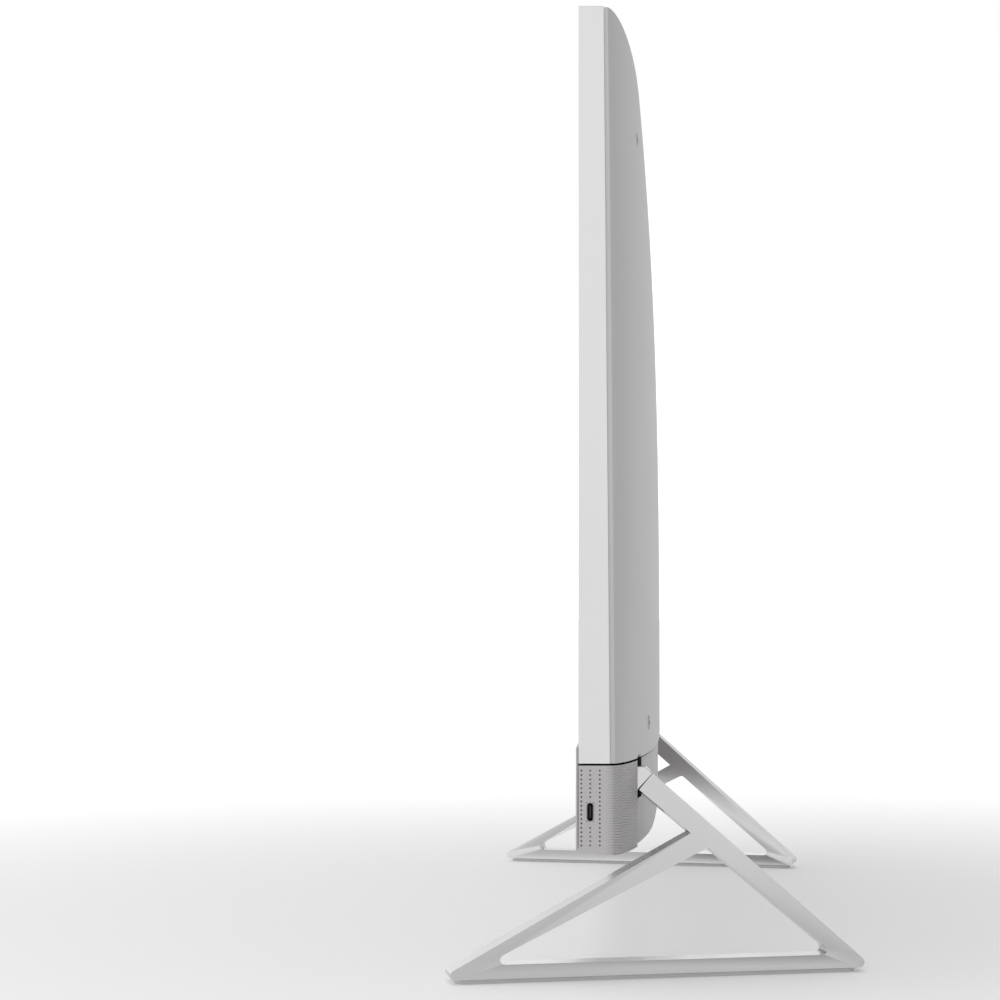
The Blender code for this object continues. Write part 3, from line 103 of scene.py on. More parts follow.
# ---- node graphs -----------------------------------------------------------------------------
class Graph:
    """A small layer over a node tree, for adding and linking nodes in one call."""

    def __init__(self, tree: bpy.types.NodeTree) -> None:
        """Keep the tree that nodes are added to."""
        self.tree = tree
        self.column = 0

    def add(self, kind: str, **settings: object) -> Node:
        """Add a node.

        Args:
            kind: The node's type name.
            settings: Attributes to set on it.

        Returns:
            The new node.
        """
        node = self.tree.nodes.new(kind)
        node.location = (self.column * 180, -(self.column % 4) * 160)
        self.column += 1
        for name, value in settings.items():
            setattr(node, name, value)
        return node

    def feed(self, socket: Socket, value: object) -> None:
        """Link an output to a socket, or set the socket's own value."""
        if isinstance(value, Socket):
            self.tree.links.new(value, socket)
        elif isinstance(value, tuple) and len(value) == 3 and socket.type == "RGBA":
            socket.default_value = (*value, 1.0)
        else:
            socket.default_value = value

    def math(self, operation: str, a: object, b: object = 0.0, clamp: bool = False) -> Socket:
        """Combine two values.

        Args:
            operation: The math node's operation.
            a: First value or output.
            b: Second value or output.
            clamp: Keep the result between 0 and 1.

        Returns:
            The result's output socket.
        """
        node = self.add("ShaderNodeMath", operation=operation, use_clamp=clamp)
        self.feed(node.inputs[0], a)
        self.feed(node.inputs[1], b)
        return node.outputs[0]

    def blend(self, factor: object, a: object, b: object) -> Socket:
        """Mix two colours.

        Args:
            factor: Share of the second colour.
            a: First colour.
            b: Second colour.

        Returns:
            The mixed colour's output socket.
        """
        node = self.add("ShaderNodeMix", data_type="RGBA", blend_type="MIX")
        self.feed(node.inputs[0], factor)
        self.feed(node.inputs[6], a)
        self.feed(node.inputs[7], b)
        return node.outputs[2]

    def step(self, value: object, low: float, high: float, start: float = 0.0,
             end: float = 1.0) -> Socket:
        """Map a value smoothly from one range to another.

        Args:
            value: The value to map.
            low: Where the ramp begins.
            high: Where it ends.
            start: Result at the low end.
            end: Result at the high end.

        Returns:
            The mapped value's output socket.
        """
        node = self.add("ShaderNodeMapRange", interpolation_type="SMOOTHSTEP")
        for index, item in enumerate((value, low, high, start, end)):
            self.feed(node.inputs[index], item)
        return node.outputs[0]

    def noise(self, where: object, scale: object, detail: float = 3.0,
              rough: float = 0.5) -> Socket:
        """A noise texture's value at a place."""
        node = self.add("ShaderNodeTexNoise")
        self.feed(node.inputs["Vector"], where)
        self.feed(node.inputs["Scale"], scale)
        self.feed(node.inputs["Detail"], detail)
        self.feed(node.inputs["Roughness"], rough)
        return node.outputs["Fac"]

    def stretch(self, where: object, scale: tuple[float, float, float]) -> Socket:
        """Coordinates scaled on each axis."""
        node = self.add("ShaderNodeVectorMath", operation="MULTIPLY")
        self.feed(node.inputs[0], where)
        self.feed(node.inputs[1], scale)
        return node.outputs[0]

    def times(self, a: object, b: object) -> Socket:
        """The product of two values."""
        return self.math("MULTIPLY", a, b)

    def plus(self, a: object, b: object) -> Socket:
        """The sum of two values."""
        return self.math("ADD", a, b)

    def minus(self, a: object, b: object) -> Socket:
        """The first value less the second."""
        return self.math("SUBTRACT", a, b)

    def between(self, value: object, low: float, high: float) -> Socket:
        """1 where a value lies between two others, and 0 elsewhere."""
        return self.times(self.math("GREATER_THAN", value, low),
                          self.math("LESS_THAN", value, high))

    def parts(self, vector: object) -> bpy.types.bpy_prop_collection:
        """A vector's X, Y and Z, by name."""
        node = self.add("ShaderNodeSeparateXYZ")
        self.feed(node.inputs[0], vector)
        return node.outputs

    def use(self, effect: Effect, **values: object) -> Node:
        """Add one of the shared groups.

        Args:
            effect: Which group.
            values: Inputs by name, with _ for a space.

        Returns:
            The group node.
        """
        node = self.add("ShaderNodeGroup", node_tree=bpy.data.node_groups[effect.value])
        for name, value in values.items():
            self.feed(node.inputs[name.replace("_", " ")], value)
        return node


class SharedEffects:
    """Builds the node groups that several finishes use."""

    def build(self) -> None:
        """Make every group."""
        self.tone()
        self.grain()
        self.dust()
        self.handling()
        self.brush()

    def group(self, effect: Effect, takes: dict[str, tuple[str, object]],
              gives: dict[str, str]) -> tuple[Graph, Node, Node]:
        """Start a node group with its sockets.

        Args:
            effect: The group's name.
            takes: Input names, each with a socket type and its default.
            gives: Output names, each with a socket type.

        Returns:
            The graph, its input node and its output node.
        """
        tree = bpy.data.node_groups.new(effect.value, "ShaderNodeTree")
        for name, (kind, value) in takes.items():
            socket = tree.interface.new_socket(name, in_out="INPUT", socket_type=kind)
            if value is not None:
                socket.default_value = value
        for name, kind in gives.items():
            tree.interface.new_socket(name, in_out="OUTPUT", socket_type=kind)
        graph = Graph(tree)
        return graph, graph.add("NodeGroupInput"), graph.add("NodeGroupOutput")

    def tone(self) -> None:
        """Slow and fine variation laid over a base colour."""
        graph, taken, given = self.group(
            Effect.TONE,
            {"Place": ("NodeSocketVector", None), "Colour": ("NodeSocketColor", (1, 1, 1, 1)),
             "Amount": ("NodeSocketFloat", 0.05)},
            {"Colour": "NodeSocketColor"})
        slow = graph.noise(taken.outputs["Place"], 7.0, 4.0, 0.55)
        fine = graph.noise(taken.outputs["Place"], 160.0, 2.0, 0.6)
        both = graph.plus(graph.times(slow, 0.7), graph.times(fine, 0.3))
        swing = graph.times(graph.minus(both, 0.5), taken.outputs["Amount"])
        gain = graph.plus(1.0, graph.times(swing, 2.0))
        scaled = graph.add("ShaderNodeVectorMath", operation="SCALE")
        graph.feed(scaled.inputs[0], taken.outputs["Colour"])
        graph.feed(scaled.inputs[3], gain)
        graph.feed(given.inputs["Colour"], scaled.outputs[0])

    def grain(self) -> None:
        """Fine surface texture of a moulding or a blasted casting, as a height."""
        graph, taken, given = self.group(
            Effect.GRAIN,
            {"Place": ("NodeSocketVector", None), "Scale": ("NodeSocketFloat", 900.0)},
            {"Height": "NodeSocketFloat"})
        cells = graph.add("ShaderNodeTexVoronoi", feature="SMOOTH_F1")
        graph.feed(cells.inputs["Vector"], taken.outputs["Place"])
        graph.feed(cells.inputs["Scale"], taken.outputs["Scale"])
        fine = graph.noise(taken.outputs["Place"], taken.outputs["Scale"], 2.0, 0.6)
        height = graph.plus(graph.times(cells.outputs["Distance"], 0.6), graph.times(fine, 0.4))
        graph.feed(given.inputs["Height"], height)

    def dust(self) -> None:
        """Thin dust on faces that look upwards, as a mask."""
        graph, taken, given = self.group(
            Effect.DUST,
            {"Place": ("NodeSocketVector", None), "Amount": ("NodeSocketFloat", 0.1)},
            {"Mask": "NodeSocketFloat"})
        facing = graph.add("ShaderNodeNewGeometry")
        upward = graph.step(graph.parts(facing.outputs["True Normal"])["Z"], 0.3, 1.0)
        patches = graph.step(graph.noise(taken.outputs["Place"], 40.0, 6.0, 0.65), 0.35, 0.75)
        graph.feed(given.inputs["Mask"],
                   graph.times(graph.times(upward, patches), taken.outputs["Amount"]))

    def handling(self) -> None:
        """Faint smears from hands, as a change of roughness."""
        graph, taken, given = self.group(
            Effect.HANDLING,
            {"Place": ("NodeSocketVector", None), "Roughness": ("NodeSocketFloat", 0.4),
             "Amount": ("NodeSocketFloat", 0.1)},
            {"Roughness": "NodeSocketFloat"})
        smears = graph.noise(graph.stretch(taken.outputs["Place"], (18.0, 30.0, 11.0)),
                             1.0, 5.0, 0.6)
        swing = graph.times(graph.minus(smears, 0.5), taken.outputs["Amount"])
        graph.feed(given.inputs["Roughness"],
                   graph.math("ADD", taken.outputs["Roughness"], swing, clamp=True))

    def brush(self) -> None:
        """Long fine lines left by brushing or drawing, along X."""
        graph, taken, given = self.group(
            Effect.BRUSH,
            {"Place": ("NodeSocketVector", None)},
            {"Value": "NodeSocketFloat"})
        lines = graph.noise(graph.stretch(taken.outputs["Place"], (12.0, 1800.0, 1800.0)),
                            1.0, 3.0, 0.6)
        graph.feed(given.inputs["Value"], lines)


# ---- finishes --------------------------------------------------------------------------------
def shade(colour: Colour, share: float) -> Colour:
    """A colour made darker or lighter."""
    return tuple(part * share for part in colour)


@dataclass(frozen=True)
class Finish:
    """A procedural surface.

    Attributes:
        name: Material name.
        colour: Base colour.
        roughness: Mean roughness.
        metallic: 1 for bare metal.
        tone: How much the colour varies.
        grain: Depth of the surface texture in metres.
        grain_scale: Cells of that texture in a metre.
        dust: Share of dust on faces looking up.
        smears: Change of roughness from handling.
        coat: Weight of a clear coat.
        brushed: Whether drawn lines show.
    """

    name: str
    colour: Colour
    roughness: float = 0.5
    metallic: float = 0.0
    tone: float = 0.04
    grain: float = 0.00001
    grain_scale: float = 900.0
    dust: float = 0.04
    smears: float = 0.08
    coat: float = 0.0
    brushed: bool = False

    def material(self) -> bpy.types.Material:
        """The finish's material, made on its first use."""
        found = bpy.data.materials.get(self.name)
        if found:
            return found
        made = bpy.data.materials.new(self.name)
        made.use_nodes = True
        graph = Graph(made.node_tree)
        shader = made.node_tree.nodes["Principled BSDF"]
        place = graph.add("ShaderNodeTexCoord").outputs["Object"]
        colour = self.paint(graph, place)
        mask = graph.use(Effect.DUST, Place=place, Amount=self.dust).outputs["Mask"]
        graph.feed(shader.inputs["Base Color"],
                   graph.blend(mask, colour, DUST))
        graph.feed(shader.inputs["Roughness"], self.rough(graph, place))
        shader.inputs["Metallic"].default_value = self.metallic
        shader.inputs["Coat Weight"].default_value = self.coat
        bump = graph.add("ShaderNodeBump")
        bump.inputs["Distance"].default_value = 1.0
        graph.feed(bump.inputs["Height"], self.relief(graph, place))
        graph.feed(shader.inputs["Normal"], bump.outputs["Normal"])
        return made

    def paint(self, graph: Graph, place: Socket) -> Socket:
        """Base colour, as an output socket."""
        colour: object = self.colour
        if self.brushed:
            lines = graph.use(Effect.BRUSH, Place=place).outputs["Value"]
            darker = shade(self.colour, BRUSHED_SHADE)
            colour = graph.blend(graph.step(lines, *BRUSHED_RANGE), darker, self.colour)
        return graph.use(Effect.TONE, Place=place, Colour=colour,
                         Amount=self.tone).outputs["Colour"]

    def rough(self, graph: Graph, place: Socket) -> Socket:
        """Roughness, as an output socket."""
        return graph.use(Effect.HANDLING, Place=place, Roughness=self.roughness,
                         Amount=self.smears).outputs["Roughness"]

    def relief(self, graph: Graph, place: Socket) -> Socket:
        """Surface height in metres, as an output socket."""
        grain = graph.use(Effect.GRAIN, Place=place, Scale=self.grain_scale)
        return graph.times(grain.outputs["Height"], self.grain)


@dataclass(frozen=True)
class RibbedFinish(Finish):
    """A moulding with fine wavy level ribs on its rounded rear corner, with painted shade in their grooves.

    Attributes:
        pitch: Height of one rib.
        depth: How deep the grooves are.
        start: Where, from front to back, the ribs begin.
        full: Where they reach their whole depth.
        sway: How far they wander up and down.
        sway_scale: How quickly they wander along each axis.
        groove_shade: Brightness of the painted shade in a groove.
        groove_share: How strongly that painted shade shows.
    """

    pitch: float = 0.0013
    depth: float = 0.00022
    start: float = -0.0262
    full: float = -0.0212
    sway: float = 0.0052
    sway_scale: tuple[float, float, float] = (55.0, 55.0, 26.0)
    groove_shade: float = 0.62
    groove_share: float = 0.55

    def ribs(self, graph: Graph, place: Socket) -> Socket:
        """Depth of the grooves between 0 and 1, growing from front to back."""
        at = graph.parts(place)
        sway = graph.noise(graph.stretch(place, self.sway_scale), 1.0, 2.0, 0.5)
        shifted = graph.plus(at["Z"], graph.times(graph.minus(sway, 0.5), self.sway))
        wave = graph.math("SINE", graph.times(shifted, 2 * math.pi / self.pitch))
        level = graph.plus(graph.times(wave, 0.5), 0.5)
        begun = graph.step(at["Y"], self.start, self.full)
        return graph.times(graph.minus(1.0, level), begun)

    def paint(self, graph: Graph, place: Socket) -> Socket:
        """Base colour, with painted shade in the grooves."""
        colour = Finish.paint(self, graph, place)
        dark = shade(self.colour, self.groove_shade)
        return graph.blend(graph.times(self.ribs(graph, place), self.groove_share), colour, dark)

    def relief(self, graph: Graph, place: Socket) -> Socket:
        """Grain and ribs together."""
        cut = graph.times(self.ribs(graph, place), -self.depth)
        return graph.plus(Finish.relief(self, graph, place), cut)


@dataclass(frozen=True)
class DottedFinish(Finish):
    """A moulding whose front carries bands of fine round perforations.

    Attributes:
        pitch: Distance between holes.
        radius: Radius of a hole.
        top: Highest row of holes.
        bottom: Lowest row of holes.
        inner: Where the bands begin, from the middle.
        outer: Where they end.
        fade: Where a hole's edge begins and ends, as shares of its radius.
        depth: How deep a hole looks.
        inside_colour: Painted shade in a hole, near black.
    """

    pitch: float = 0.0024
    radius: float = 0.00055
    top: float = 0.1020
    bottom: float = 0.0750
    inner: float = 0.1200
    outer: float = 0.2950
    fade: tuple[float, float] = (0.8, 1.15)
    depth: float = 0.0003
    inside_colour: Colour = (0.012, 0.012, 0.013)

    def holes(self, graph: Graph, place: Socket) -> Socket:
        """Mask of the holes on the front face."""
        at = graph.parts(place)
        squares = []
        for name in ("X", "Z"):
            turns = graph.math("DIVIDE", at[name], self.pitch)
            local = graph.minus(graph.math("FRACT", turns), 0.5)
            squares.append(graph.times(local, local))
        apart = graph.math("SQRT", graph.plus(*squares))
        edge = self.radius / self.pitch
        spots = graph.step(apart, edge * self.fade[0], edge * self.fade[1], 1.0, 0.0)
        inside = graph.between(graph.math("ABSOLUTE", at["X"]), self.inner, self.outer)
        level = graph.between(at["Z"], self.bottom, self.top)
        return graph.times(spots, graph.times(inside, level))

    def paint(self, graph: Graph, place: Socket) -> Socket:
        """Base colour, with near black painted shade in the holes."""
        colour = Finish.paint(self, graph, place)
        return graph.blend(self.holes(graph, place), colour, self.inside_colour)

    def relief(self, graph: Graph, place: Socket) -> Socket:
        """Grain and holes together."""
        cut = graph.times(self.holes(graph, place), -self.depth)
        return graph.plus(Finish.relief(self, graph, place), cut)


@dataclass(frozen=True)
class ScreenFinish(Finish):
    """A dark screen with a blacker printed border.

    Attributes:
        half_width: Half of the lit area's width.
        low: Lit area's lower edge.
        high: Lit area's upper edge.
        border: Colour of the printed border.
    """

    half_width: float = 0.2920
    low: float = 0.1270
    high: float = 0.4700
    border: Colour = (0.004, 0.004, 0.005)

    def paint(self, graph: Graph, place: Socket) -> Socket:
        """Near black, a little lighter over the lit area."""
        at = graph.parts(place)
        away = graph.math("ABSOLUTE", at["X"])
        lit = graph.times(graph.math("LESS_THAN", away, self.half_width),
                          graph.between(at["Z"], self.low, self.high))
        return graph.blend(lit, self.border, Finish.paint(self, graph, place))


@dataclass(frozen=True)
class CircuitFinish(Finish):
    """A laminate board with tracks under the mask and small plated pads.

    Attributes:
        track_scale: Size of the tracks' pattern, more for smaller.
        track_shade: Brightness of the tracks' colour.
        pad_scale: Pads in a metre.
        pad_fade: Where a pad's edge begins and ends, as shares of a cell.
        pad_colour: Colour of the plated pads.
    """

    track_scale: tuple[float, float, float] = (60.0, 60.0, 60.0)
    track_shade: float = 2.0
    pad_scale: float = 260.0
    pad_fade: tuple[float, float] = (0.16, 0.2)
    pad_colour: Colour = (0.55, 0.50, 0.36)

    def paint(self, graph: Graph, place: Socket) -> Socket:
        """Green board, lighter tracks and pale pads."""
        toned = Finish.paint(self, graph, place)
        tracks = graph.add("ShaderNodeTexBrick", offset=0.35)
        at = graph.parts(place)
        flat = graph.add("ShaderNodeCombineXYZ")
        graph.feed(flat.inputs[0], at["X"])
        graph.feed(flat.inputs[1], at["Z"])
        graph.feed(tracks.inputs["Vector"], graph.stretch(flat.outputs[0], self.track_scale))
        lighter = shade(self.colour, self.track_shade)
        traced = graph.blend(tracks.outputs["Fac"], toned, lighter)
        spots = graph.add("ShaderNodeTexVoronoi", feature="F1")
        graph.feed(spots.inputs["Vector"], place)
        graph.feed(spots.inputs["Scale"], self.pad_scale)
        pads = graph.step(spots.outputs["Distance"], *self.pad_fade, 1.0, 0.0)
        return graph.blend(pads, traced, self.pad_colour)


@dataclass(frozen=True)
class FloorFinish(Finish):
    """A pale matt floor with a faint glow that grows away from the machine.

    Attributes:
        glow_range: Distances from the middle between which the glow grows.
        glow_near: Its colour near the machine.
        glow_far: Its colour far away.
        sheen: The shader's specular level.
        swell: Height of the slow unevenness.
    """

    glow_range: tuple[float, float] = (0.20, 1.30)
    glow_near: Colour = (0.17, 0.17, 0.17)
    glow_far: Colour = (0.50, 0.50, 0.50)
    sheen: float = 0.1
    swell: float = 0.0004

    def material(self) -> bpy.types.Material:
        """The finish's material, with its glow."""
        made = Finish.material(self)
        graph = Graph(made.node_tree)
        shader = made.node_tree.nodes["Principled BSDF"]
        place = graph.add("ShaderNodeTexCoord").outputs["Object"]
        away = graph.add("ShaderNodeVectorMath", operation="LENGTH")
        graph.feed(away.inputs[0], place)
        glow = graph.step(away.outputs["Value"], *self.glow_range)
        graph.feed(shader.inputs["Emission Color"],
                   graph.blend(glow, self.glow_near, self.glow_far))
        shader.inputs["Emission Strength"].default_value = 1.0
        shader.inputs["Specular IOR Level"].default_value = self.sheen
        return made

    def relief(self, graph: Graph, place: Socket) -> Socket:
        """A very shallow, slow unevenness."""
        return graph.times(graph.noise(place, 3.0), self.swell)


WHITE = Finish("finish_white_band", (0.82, 0.81, 0.815), 0.36, tone=0.025, grain=0.000004,
               grain_scale=1400.0)
# The back's moulding: the band's white, painted darker as shade on the back, which faces away from the
# light.
REAR_SHADED_WHITE = Finish("finish_rear_white_shaded", (0.55, 0.54, 0.545), 0.42, tone=0.03, grain=0.000006,
              grain_scale=1300.0)
GREY = Finish("finish_grey_moulding", (0.50, 0.485, 0.49), 0.46, tone=0.03, grain=0.000008,
              grain_scale=1500.0)
RIBBED = RibbedFinish("finish_ribbed_corner", (0.50, 0.485, 0.49), 0.44, tone=0.03,
                      grain=0.000006, grain_scale=1500.0)
PLATE = DottedFinish("finish_front_plate", (0.52, 0.505, 0.51), 0.36, tone=0.025,
                     grain=0.000004, grain_scale=1500.0)
ALUMINIUM = Finish("finish_satin_aluminium", (0.62, 0.612, 0.615), 0.24, metallic=1.0, tone=0.03,
                   grain=0.000006, grain_scale=1600.0, dust=0.03, smears=0.10)
# Painted shade inside holes and recesses: near black, and pale and mid grey for the middle and rear columns
# of perforations.
HOLE_SHADE = Finish("finish_hole_shade", (0.045, 0.044, 0.045), 0.75, tone=0.12)
HOLE_SHADE_PALE = Finish("finish_hole_shade_pale", (0.30, 0.29, 0.295), 0.75, tone=0.10)
HOLE_SHADE_MID = Finish("finish_hole_shade_mid", (0.14, 0.135, 0.138), 0.75, tone=0.10)
DARK = Finish("finish_dark_moulding", (0.022, 0.022, 0.023), 0.48, tone=0.10, grain=0.00001)
RUBBER = Finish("finish_foot_rubber", (0.62, 0.61, 0.61), 0.78, tone=0.06, grain=0.00002,
                grain_scale=1100.0)
STEEL = Finish("finish_plated_steel", (0.58, 0.58, 0.60), 0.34, metallic=1.0, tone=0.06,
               brushed=True)
NICKEL = Finish("finish_nickel_stamping", (0.66, 0.655, 0.65), 0.28, metallic=1.0, tone=0.05,
                brushed=True)
GOLD = Finish("finish_contacts", (0.78, 0.60, 0.28), 0.3, metallic=1.0, tone=0.04)
SCREEN = ScreenFinish("finish_screen", (0.010, 0.010, 0.012), 0.28, tone=0.05, grain=0.000002,
                      grain_scale=2500.0, coat=0.3)
LENS = Finish("finish_lens", (0.008, 0.008, 0.018), 0.07, tone=0.15, grain=0.0, coat=0.8)
DIFFUSER = Finish("finish_light_guide", (0.84, 0.84, 0.84), 0.55)
MILLED = Finish("finish_bare_aluminium", (0.70, 0.70, 0.72), 0.38, metallic=1.0, tone=0.05,
                brushed=True)
COPPER = Finish("finish_copper", (0.74, 0.40, 0.25), 0.33, metallic=1.0, tone=0.08,
                brushed=True)
CIRCUIT = CircuitFinish("finish_circuit", (0.020, 0.10, 0.06), 0.42, tone=0.10, coat=0.25)
FLOOR = FloorFinish("finish_floor", (0.90, 0.897, 0.90), 0.85, tone=0.01, dust=0.0)


# ---- shaping -----------------------------------------------------------------------------------
def size_of(node: str) -> tuple[Vector, Vector, Vector]:
    """A CAD node's lowest corner, highest corner and middle."""
    low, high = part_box(node)
    return low, high, (low + high) / 2


def move_to(shape: Shape, rule: Callable[[Vector], Vector]) -> None:
    """Put every vertex where a rule sends it."""
    for vert in shape.verts:
        vert.co = rule(vert.co.copy())


def new_verts(made: dict[str, list]) -> list[bmesh.types.BMVert]:
    """Vertices among an operator's new geometry."""
    return [item for item in made["geom"] if isinstance(item, bmesh.types.BMVert)]


def cuboid(low: Sequence[float], high: Sequence[float], edge: float = 0.0,
           segments: int = 3) -> Shape:
    """A block between two corners.

    Args:
        low: Lowest corner.
        high: Highest corner.
        edge: Radius of its rounded edges.
        segments: Faces around each rounded edge.

    Returns:
        The block.
    """
    shape = bmesh.new()
    bmesh.ops.create_cube(shape, size=1.0)
    start = Vector(low)
    span = Vector(high) - start
    move_to(shape, lambda co: Vector(
        s + (c + 0.5) * d for s, c, d in zip(start, co, span)))
    if edge:
        bmesh.ops.bevel(shape, geom=shape.edges[:], offset=edge, offset_type="OFFSET",
                        segments=segments, profile=0.5, affect="EDGES", material=-1)
    return shape


def disc(centre: Vector, axis: str, radius: float, length: float, edge: float = 0.0,
         sides: int = 32) -> Shape:
    """A short cylinder about an axis through its middle.

    Args:
        centre: Middle of the cylinder.
        axis: X, Y or Z.
        radius: Its radius.
        length: Its length.
        edge: Radius of its rounded rims.
        sides: Faces around it.

    Returns:
        The cylinder.
    """
    shape = bmesh.new()
    bmesh.ops.create_cone(shape, cap_ends=True, segments=sides, radius1=radius,
                          radius2=radius, depth=length)
    if edge:
        rims = [item for item in shape.edges if abs(item.verts[0].co.z - item.verts[1].co.z) < MERGE]
        bmesh.ops.bevel(shape, geom=rims, offset=edge, offset_type="OFFSET", segments=2,
                        profile=0.5, affect="EDGES", material=-1)
    turn = {"X": Matrix.Rotation(math.pi / 2, 4, "Y"), "Y": Matrix.Rotation(math.pi / 2, 4, "X"),
            "Z": Matrix.Identity(4)}[axis]
    bmesh.ops.transform(shape, matrix=Matrix.Translation(centre) @ turn, verts=shape.verts[:])
    return shape


def join(shapes: Iterable[Shape]) -> Shape:
    """Several shapes in one.

    Args:
        shapes: The shapes, which are used up.

    Returns:
        One shape that holds them all.
    """
    whole = bmesh.new()
    for shape in shapes:
        held = bpy.data.meshes.new("held")
        shape.to_mesh(held)
        shape.free()
        whole.from_mesh(held)
        bpy.data.meshes.remove(held)
    return whole


def slice_at(shape: Shape, axis: int, places: Iterable[float]) -> None:
    """Cut a shape's faces along planes square to an axis, at each place."""
    normal = Vector((0.0, 0.0, 0.0))
    normal[axis] = 1.0
    for place in places:
        bmesh.ops.bisect_plane(shape, geom=shape.verts[:] + shape.edges[:] + shape.faces[:],
                               plane_co=normal * place, plane_no=normal, dist=1e-6)


def open_window(shape: Shape, low: Sequence[float], high: Sequence[float]) -> None:
    """Take away the part of a surface inside a box.

    Args:
        shape: The surface.
        low: The box's lowest corner; an infinite number leaves that side open.
        high: Its highest corner.
    """
    for axis in range(3):
        slice_at(shape, axis, [v for v in (low[axis], high[axis]) if math.isfinite(v)])
    gone = []
    for face in shape.faces:
        middle = face.calc_center_median()
        if all(low[axis] < middle[axis] < high[axis] for axis in range(3)):
            gone.append(face)
    bmesh.ops.delete(shape, geom=gone, context="FACES")


def bound(values: Sequence[float]) -> tuple[float, float]:
    """The smaller and the larger of two values."""
    return min(values), max(values)


class Piece:
    """One finished visual mesh and what it stands for."""

    def __init__(self, name: str, shape: Shape, finish: Finish, slot: str,
                 body: Body = Body.DISPLAY, stands_for: Sequence[str] = ()) -> None:
        """Turn a shape into an object that rides on a body.

        Args:
            name: Object name.
            shape: Its shape, which is used up.
            finish: Its surface.
            slot: The record's material slot; not used.
            body: The CAD body it moves with.
            stands_for: CAD nodes that it hides.
        """
        bmesh.ops.remove_doubles(shape, verts=shape.verts[:], dist=MERGE / 10)
        bmesh.ops.recalc_face_normals(shape, faces=shape.faces[:])
        mesh = bpy.data.meshes.new(name)
        shape.to_mesh(mesh)
        shape.free()
        mesh.shade_smooth()
        mesh.set_sharp_from_angle(angle=SMOOTH_ANGLE)
        mesh.materials.append(finish.material())
        self.object = bpy.data.objects.new(name, mesh)
        bpy.context.scene.collection.objects.link(self.object)
        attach(self.object, body.value)
        if stands_for:
            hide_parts(*stands_for)
        log.info("%s: %d faces, stands for %s", name, len(mesh.polygons),
                 ", ".join(stands_for) or "nothing")

    def solidify(self, thickness: float, rim: Finish | None = None) -> "Piece":
        """Give a surface a wall.

        Args:
            thickness: The wall's thickness, inwards.
            rim: Finish of the wall's cut edges, if it's another one.

        Returns:
            The piece itself.
        """
        wall = self.object.modifiers.new("wall", "SOLIDIFY")
        wall.thickness = thickness
        wall.offset = -1.0
        wall.use_even_offset = True
        if rim:
            self.object.data.materials.append(rim.material())
            wall.material_offset_rim = 1
        return self

    def bevel(self, width: float, segments: int = 2, angle: float = 35.0) -> "Piece":
        """Round the sharp edges."""
        edges = self.object.modifiers.new("edges", "BEVEL")
        edges.width = width
        edges.segments = segments
        edges.limit_method = "ANGLE"
        edges.angle_limit = math.radians(angle)
        edges.use_clamp_overlap = True
        return self


def cad_copy(node: str) -> Shape:
    """A CAD node's mesh, merged into flat faces.

    Args:
        node: The node's name.

    Returns:
        A shape of its own that can be worked on.
    """
    shape = bmesh.new()
    shape.from_mesh(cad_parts[node].data)
    bmesh.ops.remove_doubles(shape, verts=shape.verts[:], dist=MERGE)
    bmesh.ops.dissolve_limit(shape, angle_limit=math.radians(0.6), verts=shape.verts[:],
                             edges=shape.edges[:])
    return shape


def refine(node: str, finish: Finish, slot: str, body: Body, edge: float,
           segments: int = 2) -> Piece:
    """A CAD piece with finely rounded edges.

    Args:
        node: The CAD node it stands for.
        finish: Its surface.
        slot: The record's material slot.
        body: The body it rides on.
        edge: Radius of its edges.
        segments: Faces across each edge.

    Returns:
        The piece.
    """
    made = Piece(node + "_shown", cad_copy(node), finish, slot, body, (node,))
    return made.bevel(edge, segments)


def dress(nodes: Iterable[str], finish: Finish) -> None:
    """Give carried-over CAD nodes a finish."""
    for node in nodes:
        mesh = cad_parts[node].data
        mesh.materials.clear()
        mesh.materials.append(finish.material())


# ---- the curved back ------------------------------------------------------------------------------
@dataclass
class BackSurface:
    """Depth of the curved back, measured behind the display's front face.

    Attributes:
        side_top: Side band's depth at the top.
        side_bottom: Side band's depth at the seam.
        rim: Step from the side band to the cover.
        centre_top: Depth at the middle of the top edge.
        centre_bottom: Depth at the middle of the seam.
        belly: How soon the back reaches its whole depth below the top.
        shoulder: Flattening of the plan curve towards the middle.
        root: Steepness of the plan curve at the side.
    """

    side_top: float = 0.0122
    side_bottom: float = 0.0152
    rim: float = 0.0010
    centre_top: float = 0.0310
    centre_bottom: float = 0.0424
    belly: float = 3.1
    shoulder: float = 2.2
    root: float = 0.57

    def __post_init__(self) -> None:
        """Read the display's extent from the frame."""
        low, high, _ = size_of("middle_frame")
        self.front = low.y
        self.half = high.x
        self.bottom = low.z
        self.top = high.z
        self.height = self.top - self.bottom

    def side(self, z: float) -> float:
        """Side band's depth at a height."""
        share = (self.top - z) / self.height
        return self.side_top + (self.side_bottom - self.side_top) * share

    def depth(self, x: float, z: float) -> float:
        """Whole depth at a place.

        Args:
            x: Distance from the middle, either way.
            z: Height.

        Returns:
            Depth behind the display's front face.
        """
        share = min(1.0, max(0.0, (self.top - z) / self.height))
        side = self.side(z) + self.rim
        centre = self.centre_top + (self.centre_bottom - self.centre_top) * (
            1 - (1 - share) ** self.belly)
        inwards = max(0.0, 1 - abs(x) / self.half)
        rise = (1 - (1 - inwards) ** self.shoulder) ** self.root
        return side + (centre - side) * rise

    def y(self, x: float, z: float) -> float:
        """Where the surface is at a place."""
        return self.front + self.depth(x, z)


